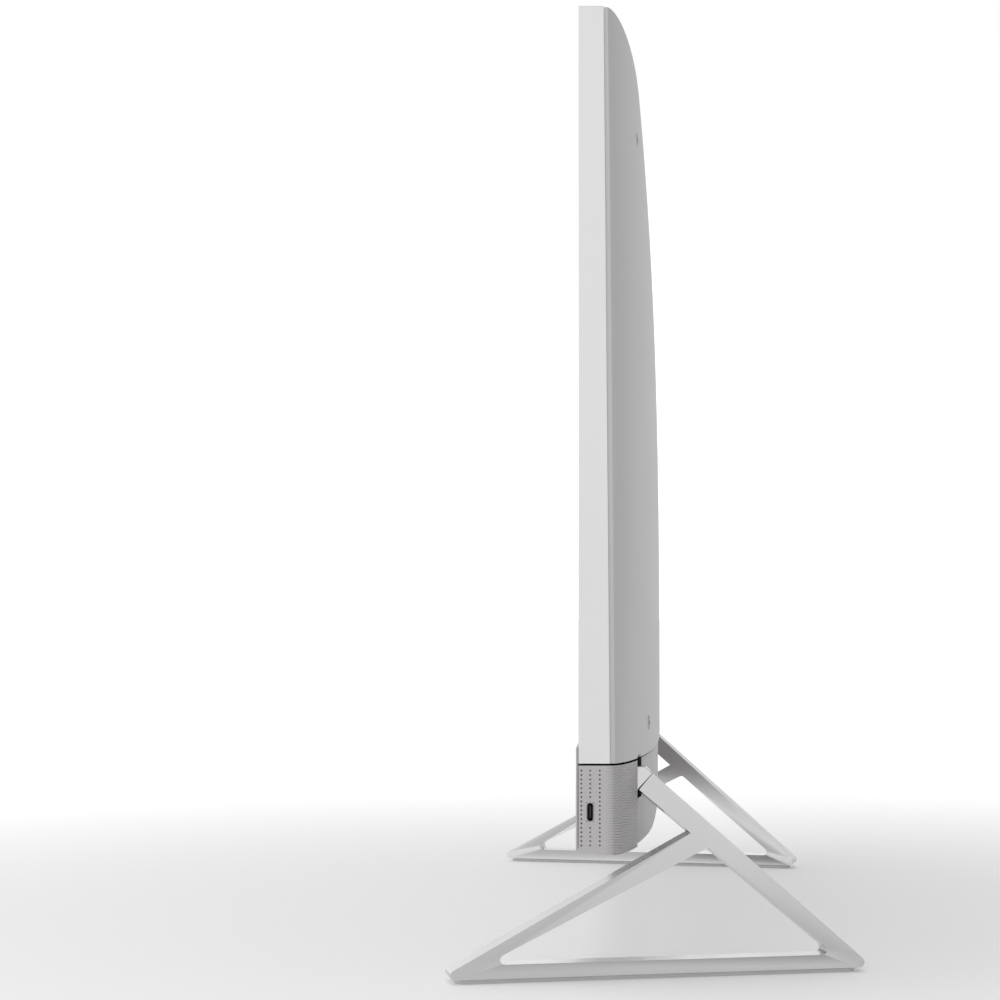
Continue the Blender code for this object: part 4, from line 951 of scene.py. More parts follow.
# ---- display --------------------------------------------------------------------------------------
@dataclass
class DisplayShell:
    """Side band, curved rear cover with its vents, camera slot and screws.

    Attributes:
        surface: Shape of the back.
        band_wall: Thickness of the side band.
        band_corner: Radius of its top corners.
        band_round: Rounding of its outer rear edge.
        band_front: Rounding of its outer front edge.
        inset: Cover's edge inside the band's edge.
        lip: Cover's top below the band's top.
        wall: Cover's thickness.
        gap: How far the cover's rim reaches into the band, and the camera slot's clearance.
        vents: Number of vents.
        vent_pitch: Distance between vents.
        vent_size: Width and height of a vent.
        vent_drop: Vents' top below the cover's top.
        vent_from: How far back the vents' cut begins, as a share of the band's depth.
        relief: Height of the notches over the hinge arms.
        arm_clear: Clearance of those notches on each side.
        arm_from: How far behind the band they begin.
        grid: Faces across and up the cover before it is cut.
        crowd: How much the grid's rows crowd towards the top.
        edge: Rounding of the cover's edges.
    """

    surface: BackSurface
    band_wall: float = 0.0025
    band_corner: float = 0.0040
    band_round: float = 0.0019
    band_front: float = 0.0004
    inset: float = 0.0008
    lip: float = 0.0014
    wall: float = 0.0020
    gap: float = 0.0003
    vents: int = 16
    vent_pitch: float = 0.0090
    vent_size: tuple[float, float] = (0.0030, 0.0260)
    vent_drop: float = 0.0300
    vent_from: float = 2 / 1.5
    relief: float = 0.0014
    arm_clear: float = 0.001
    arm_from: float = 0.004
    grid: tuple[int, int] = (110, 46)
    crowd: float = 1.4
    edge: float = 0.0003

    def build(self) -> None:
        """Make the outer pieces."""
        self.band()
        self.cover()
        for node in sorted(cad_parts):
            if node.startswith("cover_screw"):
                self.screw(node)

    def band(self) -> None:
        """The light side band: an outline drawn back, hollowed and rounded behind."""
        at = self.surface
        shape = bmesh.new()
        bmesh.ops.create_grid(shape, x_segments=1, y_segments=1, size=1.0)
        move_to(shape, lambda co: Vector(
            (co.x * at.half, at.front, at.top if co.y > 0 else at.bottom)))
        upper = [vert for vert in shape.verts if vert.co.z > at.bottom + self.band_corner]
        bmesh.ops.bevel(shape, geom=upper, offset=self.band_corner, offset_type="OFFSET",
                        segments=8, profile=0.5, affect="VERTICES", material=-1)
        drawn = bmesh.ops.extrude_face_region(shape, geom=shape.faces[:])
        for vert in new_verts(drawn):
            vert.co.y = at.front + at.side(vert.co.z)
        ends = [face for face in shape.faces if abs(face.normal.y) > 0.9 and len(face.verts) > 4]
        bmesh.ops.inset_individual(shape, faces=ends, thickness=self.band_wall,
                                   use_even_offset=True)
        bmesh.ops.delete(shape, geom=ends, context="FACES_ONLY")
        rims = [edge for edge in shape.edges if edge.is_boundary]
        bmesh.ops.bridge_loops(shape, edges=rims)
        for radius, back in ((self.band_round, True), (self.band_front, False)):
            outer = [edge for edge in shape.edges if self.on_outline(edge, back)]
            bmesh.ops.bevel(shape, geom=outer, offset=radius, offset_type="OFFSET",
                            segments=6 if back else 2, profile=0.5, affect="EDGES",
                            material=-1, clamp_overlap=True)
        Piece("side_band", shape, WHITE, "white_shell", Body.DISPLAY, ("middle_frame",))

    def on_outline(self, edge: bmesh.types.BMEdge, back: bool) -> bool:
        """Whether an edge lies on the band's outer front or rear outline."""
        at = self.surface
        for vert in edge.verts:
            depth = at.side(vert.co.z) if back else 0.0
            on_side = abs(abs(vert.co.x) - at.half) < MERGE
            on_end = min(abs(vert.co.z - at.top), abs(vert.co.z - at.bottom)) < MERGE
            in_corner = (abs(vert.co.x) > at.half - self.band_corner - MERGE
                         and vert.co.z > at.top - self.band_corner - MERGE)
            if abs(vert.co.y - at.front - depth) > MERGE:
                return False
            if not (on_side or on_end or in_corner):
                return False
        lengthwise = (edge.verts[0].co - edge.verts[1].co).length
        crossing = any(len(face.verts) == 4 and abs(face.normal.y) < 0.5
                       for face in edge.link_faces)
        return crossing and lengthwise > MERGE and self.faces_out(edge)

    def faces_out(self, edge: bmesh.types.BMEdge) -> bool:
        """Whether one of an edge's faces looks away from the middle of the display."""
        at = self.surface
        centre = Vector((0.0, at.front, (at.top + at.bottom) / 2))
        for face in edge.link_faces:
            reach = face.calc_center_median() - centre
            if abs(face.normal.y) < 0.5 and face.normal.dot(reach) > 0:
                return True
        return False

    def cover(self) -> None:
        """The curved cover: a grid laid on the back, its rim drawn forward, then opened."""
        at = self.surface
        half = at.half - self.inset
        top = at.top - self.lip
        shape = bmesh.new()
        bmesh.ops.create_grid(shape, x_segments=self.grid[0], y_segments=self.grid[1], size=1.0)

        def laid(co: Vector) -> Vector:
            """A grid point on the back."""
            x = half * math.sin(co.x * math.pi / 2)
            z = top - (top - at.bottom) * ((1 - co.y) / 2) ** self.crowd
            return Vector((x, at.y(x, z), z))

        move_to(shape, laid)
        rim = [edge for edge in shape.edges if edge.is_boundary]
        drawn = bmesh.ops.extrude_edge_only(shape, edges=rim)
        for vert in new_verts(drawn):
            vert.co.y = at.front + at.side(vert.co.z) - self.gap
        width, height = self.vent_size
        vent_top = top - self.vent_drop
        for number in range(self.vents):
            middle = (number - (self.vents - 1) / 2) * self.vent_pitch
            open_window(shape, (middle - width / 2, at.front + self.vent_from * at.side_bottom,
                                vent_top - height),
                        (middle + width / 2, INFINITE, vent_top))
        low, high, _ = size_of("camera_housing")
        gap = self.gap
        open_window(shape, (low.x - gap, low.y - gap, top - gap),
                    (high.x + gap, high.y + gap, INFINITE))
        for side in Side:
            arm_low, arm_high, _ = size_of("hinge_arm_" + side.word)
            behind = at.front + at.side_bottom + self.arm_from
            open_window(shape, (arm_low.x - self.arm_clear, behind, -INFINITE),
                        (arm_high.x + self.arm_clear, INFINITE, at.bottom + self.relief))
        # The cover takes the band's white, painted darker as shade.
        made = Piece("rear_cover_shown", shape, REAR_SHADED_WHITE, "rear_shell", Body.DISPLAY,
                     ("rear_cover",))
        made.solidify(self.wall).bevel(self.edge, 2, 50.0)

    def screw(self, node: str) -> None:
        """A cross-head screw in a raised seat on the cover."""
        low, high, middle = size_of(node)
        radius = (high.x - low.x) / 2
        at = self.surface
        small = 0.002
        seat_at = Vector((middle.x, at.y(middle.x, middle.z), middle.z))
        across = at.y(middle.x + small, middle.z) - at.y(middle.x - small, middle.z)
        up = at.y(middle.x, middle.z + small) - at.y(middle.x, middle.z - small)
        normal = Vector((-across / (2 * small), 1.0, -up / (2 * small))).normalized()
        turn = normal.to_track_quat("Z", "Y").to_matrix().to_4x4()
        seat = disc(Vector(), "Z", radius * 1.5, 0.0010, 0.0002, 40)
        tops = [face for face in seat.faces if face.normal.z > 0.99]
        bmesh.ops.inset_region(seat, faces=tops, thickness=radius * 0.25)
        bmesh.ops.inset_region(seat, faces=tops, thickness=0.00005, depth=-0.0005)
        bmesh.ops.transform(seat, matrix=Matrix.Translation(seat_at) @ turn,
                            verts=seat.verts[:])
        Piece(node + "_seat", seat, REAR_SHADED_WHITE, "rear_shell")
        head = disc(Vector((0, 0, 0.00015)), "Z", radius * 0.98, 0.0004, 0.00012, 32)
        tops = [face for face in head.faces if face.normal.z > 0.99]
        bmesh.ops.inset_region(head, faces=tops, thickness=radius * 0.15, depth=0.00004)
        wide = radius * 0.16
        slots = [cuboid((-radius * 0.6, -wide, 0.00036), (radius * 0.6, wide, 0.00044)),
                 cuboid((-wide, -radius * 0.6, 0.00036), (wide, radius * 0.6, 0.00044))]
        cross = join(slots)
        for shape in (head, cross):
            bmesh.ops.transform(shape, matrix=Matrix.Translation(seat_at) @ turn,
                                verts=shape.verts[:])
        Piece(node + "_shown", head, STEEL, "steel", Body.DISPLAY, (node,))
        # A near black cross laid on the head stands in for the shade in its recess.
        Piece(node + "_cross", cross, HOLE_SHADE, "steel")

    def dress(self) -> None:
        """Finish the display's inner pieces that stay as they are."""
        dress(["chassis_plate"], MILLED)


@dataclass
class Screen:
    """The bezel and the layers behind it.

    Attributes:
        edge: Rounding of the bezel's window.
    """

    edge: float = 0.0003

    def build(self) -> None:
        """Make the bezel, and leave the flat layers as they are."""
        refine("front_bezel", WHITE, "white_shell", Body.DISPLAY, self.edge)

    def dress(self) -> None:
        """Finish the layers."""
        dress(["lcd_panel"], SCREEN)
        dress(["backlight_unit"], DIFFUSER)


# ---- chin --------------------------------------------------------------------------------------------
@dataclass
class Chin:
    """Front plate, perforated and ribbed side grilles, and the smooth rear cover.

    Attributes:
        surface: Shape of the back above it.
        wall: Thickness of the mouldings.
        rise: Underside's front edge above its middle.
        rise_depth: How far back that slope runs.
        round_up: Height of the rear bottom rounding.
        round_in: Depth of the rear bottom rounding.
        recess: Rear cover inside the grilles' surface.
        columns: Perforated columns' distances behind the chin's front face.
        rows: Perforations in a column.
        row_pitch: Distance between rows.
        first_row: Top row below the seam.
        hole: Width of a perforation.
        hole_depth: Depth of a perforation.
        slot_below: Arm slot's lower edge below the arm.
        slot_inwards: Arm slot's inner edge inside the arm.
        pin_round: Radius of the arm's end around its pin.
        plate_edge: Rounding of the front plate.
        gap: Clearance around the port and the button.
        socket_gap: Clearance around the rear sockets.
        flange: Width of the button's hidden flange.
        port_clear: Wall left between the port and the nearest perforation.
        port_lift: How far the port's ring stands proud of the side.
        port_ring: Width of that ring.
        port_bevel: Depth of the ring's fall into the port.
        rear_grid: Faces across and up the rear cover before it is cut.
        rear_crowd: How much that grid's rows crowd towards the bottom.
        rear_edge: Rounding of the rear cover's edges.
    """

    surface: BackSurface
    wall: float = 0.0020
    rise: float = 0.0021
    rise_depth: float = 0.0140
    round_up: float = 0.0200
    round_in: float = 0.0070
    recess: float = 0.0010
    columns: tuple[float, ...] = (0.0027, 0.0070, 0.01165)
    rows: int = 18
    row_pitch: float = 0.00212
    first_row: float = 0.0024
    hole: float = 0.00090
    hole_depth: float = 0.0011
    slot_below: float = 0.0042
    slot_inwards: float = 0.0115
    pin_round: float = 0.006
    plate_edge: float = 0.00025
    gap: float = 0.0003
    socket_gap: float = 0.0004
    flange: float = 0.0012
    port_clear: float = 0.0006
    port_lift: float = 0.00002
    port_ring: float = 0.00035
    port_bevel: float = 0.0003
    rear_grid: tuple[int, int] = (90, 26)
    rear_crowd: float = 1.6
    rear_edge: float = 0.0002

    def __post_init__(self) -> None:
        """Read the chin's extent from the frame."""
        plate_low, plate_high, _ = size_of("chin_front_cover")
        grille_low, grille_high, _ = size_of("side_grille_right")
        self.plate_front = plate_low.y
        self.half = plate_high.x
        self.front = grille_low.y
        self.bottom = grille_low.z
        self.top = grille_high.z
        self.edge = grille_low.x

    def underside(self, y: float, inset: float = 0.0) -> float:
        """Height of the underside at a depth."""
        back = (y - self.plate_front) / self.rise_depth
        return self.bottom + inset + self.rise * max(0.0, 1.0 - back)

    def build(self) -> None:
        """Make the chin's pieces."""
        for side in Side:
            self.grille(side)
        self.rear()
        self.plate()
        self.port()

    def grille(self, side: Side) -> None:
        """One side grille: the wall's plan as a grid, perforated, with its underside."""
        at = self.surface
        corner = at.y(self.half, at.bottom)
        flat = 3
        curved = 46
        shape = bmesh.new()
        bmesh.ops.create_grid(shape, x_segments=flat + curved, y_segments=1, size=1.0)
        slope_end = self.plate_front + self.rise_depth

        def laid(co: Vector) -> Vector:
            """A grid point on the grille's outer wall."""
            index = round((co.x + 1) / 2 * (flat + curved))
            if index <= flat:
                y = (self.front, (self.front + slope_end) / 2, slope_end, corner)[index]
                x = self.half
            else:
                share = (index - flat) / curved
                x = self.half - (self.half - self.edge) * share ** 2
                y = at.y(x, at.bottom)
            z = self.top if co.y > 0 else self.underside(y)
            return Vector((x * side.value, y, z))

        move_to(shape, laid)
        rim = [edge for edge in shape.edges
               if edge.is_boundary and all(v.co.z < self.bottom + 2 * self.rise
                                           for v in edge.verts)]
        drawn = bmesh.ops.extrude_edge_only(shape, edges=rim)
        for vert in new_verts(drawn):
            vert.co.x = self.edge * side.value
        self.perforate(shape, side)
        if side is Side.RIGHT:
            low, high, _ = size_of("usb_c_socket")
            gap = self.gap
            open_window(shape, (self.half - self.wall, low.y - gap, low.z - gap),
                        (INFINITE, high.y + gap, high.z + gap))
        made = Piece("grille_" + side.word, shape, RIBBED, "grey_shell", Body.DISPLAY,
                     ("side_grille_" + side.word,))
        # Each column of perforations takes its own painted hole shade.
        for finish in (HOLE_SHADE, HOLE_SHADE_PALE, HOLE_SHADE_MID):
            made.object.data.materials.append(finish.material())

    def perforate(self, shape: Shape, side: Side) -> None:
        """Sink rows of small holes into the flat side wall."""
        centres = []
        port_low, port_high, port = size_of("usb_c_socket")
        clear = self.hole + self.port_clear
        half_hole = self.hole / 2
        for column in self.columns:
            y = self.plate_front + column
            for row in range(self.rows):
                z = self.top - self.first_row - row * self.row_pitch
                beside_port = abs(y - port.y) < self.hole and (
                    port_low.z - clear < z < port_high.z + clear)
                if not (beside_port and side is Side.RIGHT):
                    centres.append((y, z))
        slice_at(shape, 1, sorted({y + d for y, _ in centres for d in (-half_hole, half_hole)}))
        slice_at(shape, 2, sorted({z + d for _, z in centres for d in (-half_hole, half_hole)}))
        shape.faces.ensure_lookup_table()
        cells = []
        for face in shape.faces:
            middle = face.calc_center_median()
            if abs(abs(middle.x) - self.half) > MERGE or face.calc_area() > self.hole ** 2 * 1.2:
                continue
            if any(abs(middle.y - y) < half_hole / 2 and abs(middle.z - z) < half_hole / 2
                   for y, z in centres):
                cells.append(face)
        outward = Vector((side.value, 0.0, 0.0))
        for face in cells:
            if face.normal.dot(outward) < 0:
                face.normal_flip()
        bmesh.ops.inset_individual(shape, faces=cells, thickness=self.hole * 0.12)
        walls = bmesh.ops.inset_individual(shape, faces=cells, thickness=self.hole * 0.04,
                                           depth=-self.hole_depth)
        # The holes' floors and walls take their column's painted shade.
        for face in cells + walls["faces"]:
            y = face.calc_center_median().y - self.plate_front
            near = min(self.columns, key=lambda column: abs(column - y))
            face.material_index = 1 + self.columns.index(near)

    def rear(self) -> None:
        """The smooth rear cover and underside, open for the arms, sockets and button."""
        at = self.surface
        reach = self.edge - 0.0006
        back = at.front + at.centre_bottom + at.rim - self.recess
        low_z = self.bottom + self.recess
        shape = bmesh.new()
        bmesh.ops.create_grid(shape, x_segments=self.rear_grid[0],
                              y_segments=self.rear_grid[1], size=1.0)

        def laid(co: Vector) -> Vector:
            """A grid point on the rear wall."""
            x = reach * math.sin(co.x * math.pi / 2)
            share = (co.y + 1) / 2
            z = low_z + (self.top - low_z) * share ** self.rear_crowd
            lift = min(1.0, (z - low_z) / self.round_up)
            turned = math.acos(1 - lift)
            limit = back - self.round_in * (1 - math.sin(turned))
            return Vector((x, min(at.y(x, at.bottom) - self.recess, limit), z))

        move_to(shape, laid)
        rim = [edge for edge in shape.edges
               if edge.is_boundary and all(v.co.z < low_z + MERGE for v in edge.verts)]
        slope_end = self.plate_front + self.rise_depth
        for y in (slope_end, self.front):
            drawn = bmesh.ops.extrude_edge_only(shape, edges=rim)["geom"]
            rim = [item for item in drawn if isinstance(item, bmesh.types.BMEdge)]
            for vert in drawn:
                if isinstance(vert, bmesh.types.BMVert):
                    vert.co.y = y
                    vert.co.z = self.underside(y, self.recess)
        for side in Side:
            arm_low, arm_high, _ = size_of("hinge_arm_" + side.word)
            _, _, pin = size_of("hinge_pin_" + side.word)
            ends = bound((side.value * (min(abs(arm_low.x), abs(arm_high.x)) - self.slot_inwards),
                          side.value * self.half))
            open_window(shape, (ends[0], pin.y, pin.z - self.pin_round - self.slot_below),
                        (ends[1], INFINITE, INFINITE))
        margin = self.socket_gap
        for node in SOCKETS:
            low, high, middle = size_of(node)
            open_window(shape, (low.x - margin, middle.y, low.z - margin),
                        (high.x + margin, INFINITE, high.z + margin))
        low, high, _ = self.button_top()
        gap = self.gap
        open_window(shape, (low.x - gap, low.y - gap, -INFINITE),
                    (high.x + gap, high.y + gap, self.bottom + self.wall))
        made = Piece("chin_rear_shown", shape, GREY, "grey_shell", Body.DISPLAY,
                     ("chin_rear_cover",))
        # The wall's cut edges at the openings take the near black moulding as painted shade.
        made.solidify(self.wall, DARK).bevel(self.rear_edge, 2, 50.0)

    def button_top(self) -> tuple[Vector, Vector, Vector]:
        """Extent of the power button's finger face."""
        low, high, middle = size_of("power_button")
        flange = self.flange
        lowest = Vector((low.x + flange, low.y + flange, low.z))
        return lowest, Vector((high.x - flange, high.y - flange, high.z)), middle

    def plate(self) -> None:
        """The thin front plate, a block with finely rounded edges."""
        low, high, _ = size_of("chin_front_cover")
        shape = cuboid(low, high, self.plate_edge, 3)
        Piece("front_plate", shape, PLATE, "grey_shell", Body.DISPLAY,
              ("chin_front_cover",))

    def port(self) -> None:
        """The small port on the right side: a light ring, its shell and its tongue."""
        low, high, middle = size_of("usb_c_socket")
        gap = self.gap
        refine("usb_c_socket", DARK, "steel", Body.DISPLAY, 0.00008)
        half_y = (high.y - low.y) / 2 + gap
        half_z = (high.z - low.z) / 2 + gap
        shape = bmesh.new()
        bmesh.ops.create_grid(shape, x_segments=1, y_segments=1, size=1.0)
        ring = self.port_ring
        lift = self.port_lift
        move_to(shape, lambda co: Vector((self.half + lift, middle.y + co.x * (half_y + ring),
                                          middle.z + co.y * (half_z + ring))))
        bmesh.ops.bevel(shape, geom=shape.verts[:], offset=half_y + ring - lift,
                        offset_type="OFFSET", segments=8, profile=0.5, affect="VERTICES",
                        material=-1)
        bmesh.ops.recalc_face_normals(shape, faces=shape.faces[:])
        if next(iter(shape.faces)).normal.x < 0:
            bmesh.ops.reverse_faces(shape, faces=shape.faces[:])
        faces = shape.faces[:]
        bmesh.ops.inset_region(shape, faces=faces, thickness=ring, use_boundary=True)
        inner = [face for face in faces if face.is_valid]
        bmesh.ops.inset_region(shape, faces=inner, thickness=ring, depth=-self.port_bevel)
        bmesh.ops.delete(shape, geom=inner, context="FACES_ONLY")
        made = Piece("port_ring", shape, GREY, "grey_shell")
        made.solidify(0.00025)
        tongue = cuboid((low.x + 0.001, middle.y - 0.00035, low.z + 0.0014),
                        (high.x - 0.0006, middle.y + 0.00035, high.z - 0.0014), 0.0001, 2)
        Piece("port_tongue", tongue, DARK, "steel")

    def dress(self) -> None:
        """Finish the chin's inner pieces that stay as they are."""
        dress(["speaker_right", "speaker_left"], DARK)
        dress(["side_port_board"], CIRCUIT)


SOCKETS = ("power_inlet", "hdmi_socket", "ethernet_socket", "usb_a_socket_inner",
           "usb_a_socket_outer", "audio_socket")


@dataclass
class RearSockets:
    """The row of sockets at the back of the chin, with tongues and contacts.

    Attributes:
        edge: Rounding of the stamped shells.
        contact: Width of a contact.
    """

    edge: float = 0.00012
    contact: float = 0.0006

    def build(self) -> None:
        """Make each socket's pieces."""
        for node in SOCKETS:
            if node in ("power_inlet", "audio_socket"):
                self.round_socket(node)
            else:
                refine(node, NICKEL, "socket_shell", Body.DISPLAY, self.edge)
        self.tongue("hdmi_socket", 0.62, 0.30, 0.0, 9)
        for node in ("usb_a_socket_inner", "usb_a_socket_outer"):
            self.tongue(node, 0.80, 0.26, 0.16, 4)
        self.tongue("ethernet_socket", 0.62, 0.12, 0.36, 8)

    def round_socket(self, node: str) -> None:
        """A round socket with its collar and the plate around it."""
        low, high, middle = size_of(node)
        refine(node, DARK, "dark_plastic", Body.DISPLAY, self.edge)
        half = (high.x - low.x) / 2
        plate = cuboid((low.x - 0.0003, high.y - 0.0030, low.z - 0.0003),
                       (high.x + 0.0003, high.y - 0.0006, high.z + 0.0003))
        tops = [face for face in plate.faces if abs(face.normal.y) > 0.99]
        bmesh.ops.inset_individual(plate, faces=tops, thickness=half * 0.40)
        bmesh.ops.delete(plate, geom=tops, context="FACES_ONLY")
        rims = [edge for edge in plate.edges if edge.is_boundary]
        bmesh.ops.bridge_loops(plate, edges=rims)
        Piece(node + "_plate", plate, DARK, "dark_plastic")
        if node == "power_inlet":
            pin = disc(Vector((middle.x, middle.y, middle.z)), "Y", 0.0008,
                       (high.y - low.y) * 0.7, 0.0003, 20)
            Piece("power_inlet_pin", pin, STEEL, "steel")

    def tongue(self, node: str, wide: float, thick: float, up: float, contacts: int) -> None:
        """A moulded tongue with a row of contacts.

        Args:
            node: The socket it stands in.
            wide: Its width as a share of the socket's.
            thick: Its height as a share of the socket's.
            up: Its middle above the socket's, as a share of the height.
            contacts: Number of contacts.
        """
        low, high, middle = size_of(node)
        half = (high.x - low.x) / 2 * wide
        tall = (high.z - low.z) * thick / 2
        z = middle.z + (high.z - low.z) * up
        tongue = cuboid((middle.x - half, low.y + 0.001, z - tall),
                        (middle.x + half, high.y - 0.0012, z + tall), 0.0002, 2)
        Piece(node + "_tongue", tongue, DARK, "dark_plastic")
        pitch = 2 * half / contacts
        strips = []
        for number in range(contacts):
            x = middle.x - half + pitch * (number + 0.5)
            wide_strip = min(self.contact, pitch * 0.5) / 2
            strips.append(cuboid((x - wide_strip, low.y + 0.002, z - tall - 0.00012),
                                 (x + wide_strip, high.y - 0.0018, z - tall + 0.0001)))
        Piece(node + "_contacts", join(strips), GOLD, "socket_shell")

    def dress(self) -> None:
        """Finish the board behind the sockets."""
        dress(["io_board"], CIRCUIT)


# ---- stand -------------------------------------------------------------------------------------------
@dataclass
class Stand:
    """Two open triangular legs, their arms, pads and fixings.

    Attributes:
        splay: Turn of the legs about the vertical.
        dish: How far the wide faces fall at the foot of the opening.
        edge: Rounding of the legs' edges.
        arm_edge: Rounding of the arms' edges.
        pad_edge: Rounding of the pads' edges.
    """

    splay: float = math.radians(12.5)
    dish: float = 0.0017
    edge: float = 0.00045
    arm_edge: float = 0.00030
    pad_edge: float = 0.0003

    def build(self) -> None:
        """Make both legs and what belongs to them."""
        for side in Side:
            self.leg(side)
            word = side.word
            refine("hinge_arm_" + word, ALUMINIUM, "satin_aluminium", Body.STAND, self.arm_edge)
            refine("foot_pad_" + word, RUBBER, "foot_rubber", Body.STAND, self.pad_edge)

    def leg(self, side: Side) -> None:
        """One leg with rounded edges, its wide faces dished towards the opening.

        The dish is deepest at the floor and fades to nothing at the opening's top.
        """
        node = "leg_frame_" + side.word
        shape = cad_copy(node)
        turn = self.splay * side.value
        outward = Vector((math.cos(turn), math.sin(turn), 0.0)) * side.value
        wide = {face for face in shape.faces if abs(face.normal.dot(outward)) > 0.9}
        inner = self.opening_verts(shape, wide)
        foot = min(vert.co.z for vert in inner)
        crown = max(vert.co.z for vert in inner)
        normals = {vert: next(iter([face.normal.copy() for face in vert.link_faces
                                    if face in wide]), None) for vert in inner}
        for vert, normal in normals.items():
            if normal:
                share = (crown - vert.co.z) / (crown - foot)
                vert.co -= normal * self.dish * share
        bmesh.ops.triangulate(shape, faces=list(wide))
        bmesh.ops.dissolve_limit(shape, angle_limit=math.radians(1.0), verts=shape.verts[:],
                                 edges=shape.edges[:])
        Piece(node + "_shown", shape, ALUMINIUM, "satin_aluminium", Body.STAND,
              (node,)).bevel(self.edge, 3, 28.0)

    def opening_verts(self, shape: Shape,
                      wide: set[bmesh.types.BMFace]) -> set[bmesh.types.BMVert]:
        """Vertices around the opening.

        Args:
            shape: The leg.
            wide: Its two wide faces' parts.

        Returns:
            The vertices of the wall that lines the opening.
        """
        left = {face for face in shape.faces if face not in wide}
        walls = []
        while left:
            queue = [left.pop()]
            wall = set(queue)
            while queue:
                face = queue.pop()
                for edge in face.edges:
                    for other in edge.link_faces:
                        if other in left:
                            left.remove(other)
                            wall.add(other)
                            queue.append(other)
            walls.append({vert for face in wall for vert in face.verts})
        lowest = min(vert.co.z for vert in shape.verts)
        return next(wall for wall in walls if min(v.co.z for v in wall) > lowest + 0.003)

    def dress(self) -> None:
        """Finish the pins and bolts."""
        for side in Side:
            dress([f"hinge_pin_{side.word}", f"leg_bolt_{side.word}"], STEEL)
            dress([f"hinge_bracket_{side.word}"], DARK)


# ---- camera and button -----------------------------------------------------------------------------------
@dataclass
class RisingCamera:
    """The camera that slides out of the top edge.

    Attributes:
        edge: Rounding of its casing.
        ring: Width of the trim ring around the lens.
    """

    edge: float = 0.0004
    ring: float = 0.0005

    def build(self) -> None:
        """Make the casing, the lens with its iris rings, a status light and microphones."""
        low, high, lens = size_of("camera_lens")
        refine("camera_housing", WHITE, "white_shell", Body.CAMERA, self.edge)
        radius = (high.x - low.x) / 2
        glass = disc(lens, "Y", radius, high.y - low.y, 0.0002, 48)
        fronts = [face for face in glass.faces if face.normal.y < -0.99]
        for share, depth in ((0.25, 0.0), (0.12, -0.0002), (0.25, 0.0), (0.08, -0.0001)):
            bmesh.ops.inset_region(glass, faces=fronts, thickness=radius * share, depth=depth)
        Piece("camera_lens_shown", glass, LENS, "lens_glass", Body.CAMERA,
              ("camera_lens",))
        case_low, case_high, _ = size_of("camera_housing")
        trim = disc(Vector((lens.x, case_low.y, lens.z)), "Y", radius + 2 * self.ring, 0.0002,
                    0.00008, 48)
        caps = [face for face in trim.faces if abs(face.normal.y) > 0.99]
        bmesh.ops.inset_individual(trim, faces=caps, thickness=self.ring)
        bmesh.ops.delete(trim, geom=caps, context="FACES_ONLY")
        bmesh.ops.bridge_loops(trim, edges=[e for e in trim.edges if e.is_boundary])
        Piece("camera_trim", trim, STEEL, "steel", Body.CAMERA)
        # Flat near black discs stand in for the shade in the status light's window and the microphone
        # holes.
        for name, x, size in (("camera_light", 0.010, 0.0006), ("camera_mic_right", 0.018, 0.0005),
                              ("camera_mic_left", -0.018, 0.0005)):
            spot = disc(Vector((lens.x + x, case_low.y, lens.z)), "Y", size, 0.00006, 0.0, 16)
            Piece(name, spot, HOLE_SHADE, "dark_plastic", Body.CAMERA)

    def dress(self) -> None:
        """Finish the dock."""
        dress(["camera_dock"], DARK)


@dataclass
class PowerButton:
    """The push button under the chin.

    Attributes:
        edge: Rounding of its edges.
    """

    edge: float = 0.0002

    def build(self) -> None:
        """Make the button."""
        refine("power_button", DARK, "dark_plastic", Body.BUTTON, self.edge)

    def dress(self) -> None:
        """Finish its switch board."""
        dress(["power_switch_board"], CIRCUIT)


@dataclass
class Computer:
    """Boards, drives, cooling and radio parts inside the casing.

    Attributes:
        finishes: Finish of each group of CAD nodes.
    """

    finishes: dict[Finish, tuple[str, ...]] = field(default_factory=lambda: {
        CIRCUIT: ("system_board", "memory_module_lower", "memory_module_upper",
                  "solid_state_drive", "wireless_card"),
        MILLED: ("heat_sink", "hard_drive", "hard_drive_tray"),
        COPPER: ("cooler_plate", "heat_pipe", "antenna_left", "antenna_right"),
        STEEL: ("coin_cell", "processor"),
        DARK: ("fan_housing", "fan_rotor"),
    })

    def build(self) -> None:
        """Everything here is shown as the frame has it."""
        log.info("computer: %d inner nodes kept",
                 sum(len(nodes) for nodes in self.finishes.values()))

    def dress(self) -> None:
        """Finish the nodes."""
        for finish, nodes in self.finishes.items():
            dress(nodes, finish)


# ---- studio ----------------------------------------------------------------------------------------------
@dataclass
class Lamp:
    """A rectangular soft light.

    Attributes:
        name: Object name.
        place: Where it hangs.
        aim: What it points at.
        size: Its width and height.
        power: Watts.
    """

    name: str
    place: tuple[float, float, float]
    aim: tuple[float, float, float]
    size: tuple[float, float]
    power: float

    def hang(self) -> None:
        """Add the light."""
        light = bpy.data.lights.new(self.name, "AREA")
        light.shape = "RECTANGLE"
        light.size, light.size_y = self.size
        light.energy = self.power
        made = bpy.data.objects.new(self.name, light)
        made.location = self.place
        aim = Vector(self.aim) - Vector(self.place)
        made.rotation_euler = aim.to_track_quat("-Z", "Y").to_euler()
        bpy.context.scene.collection.objects.link(made)


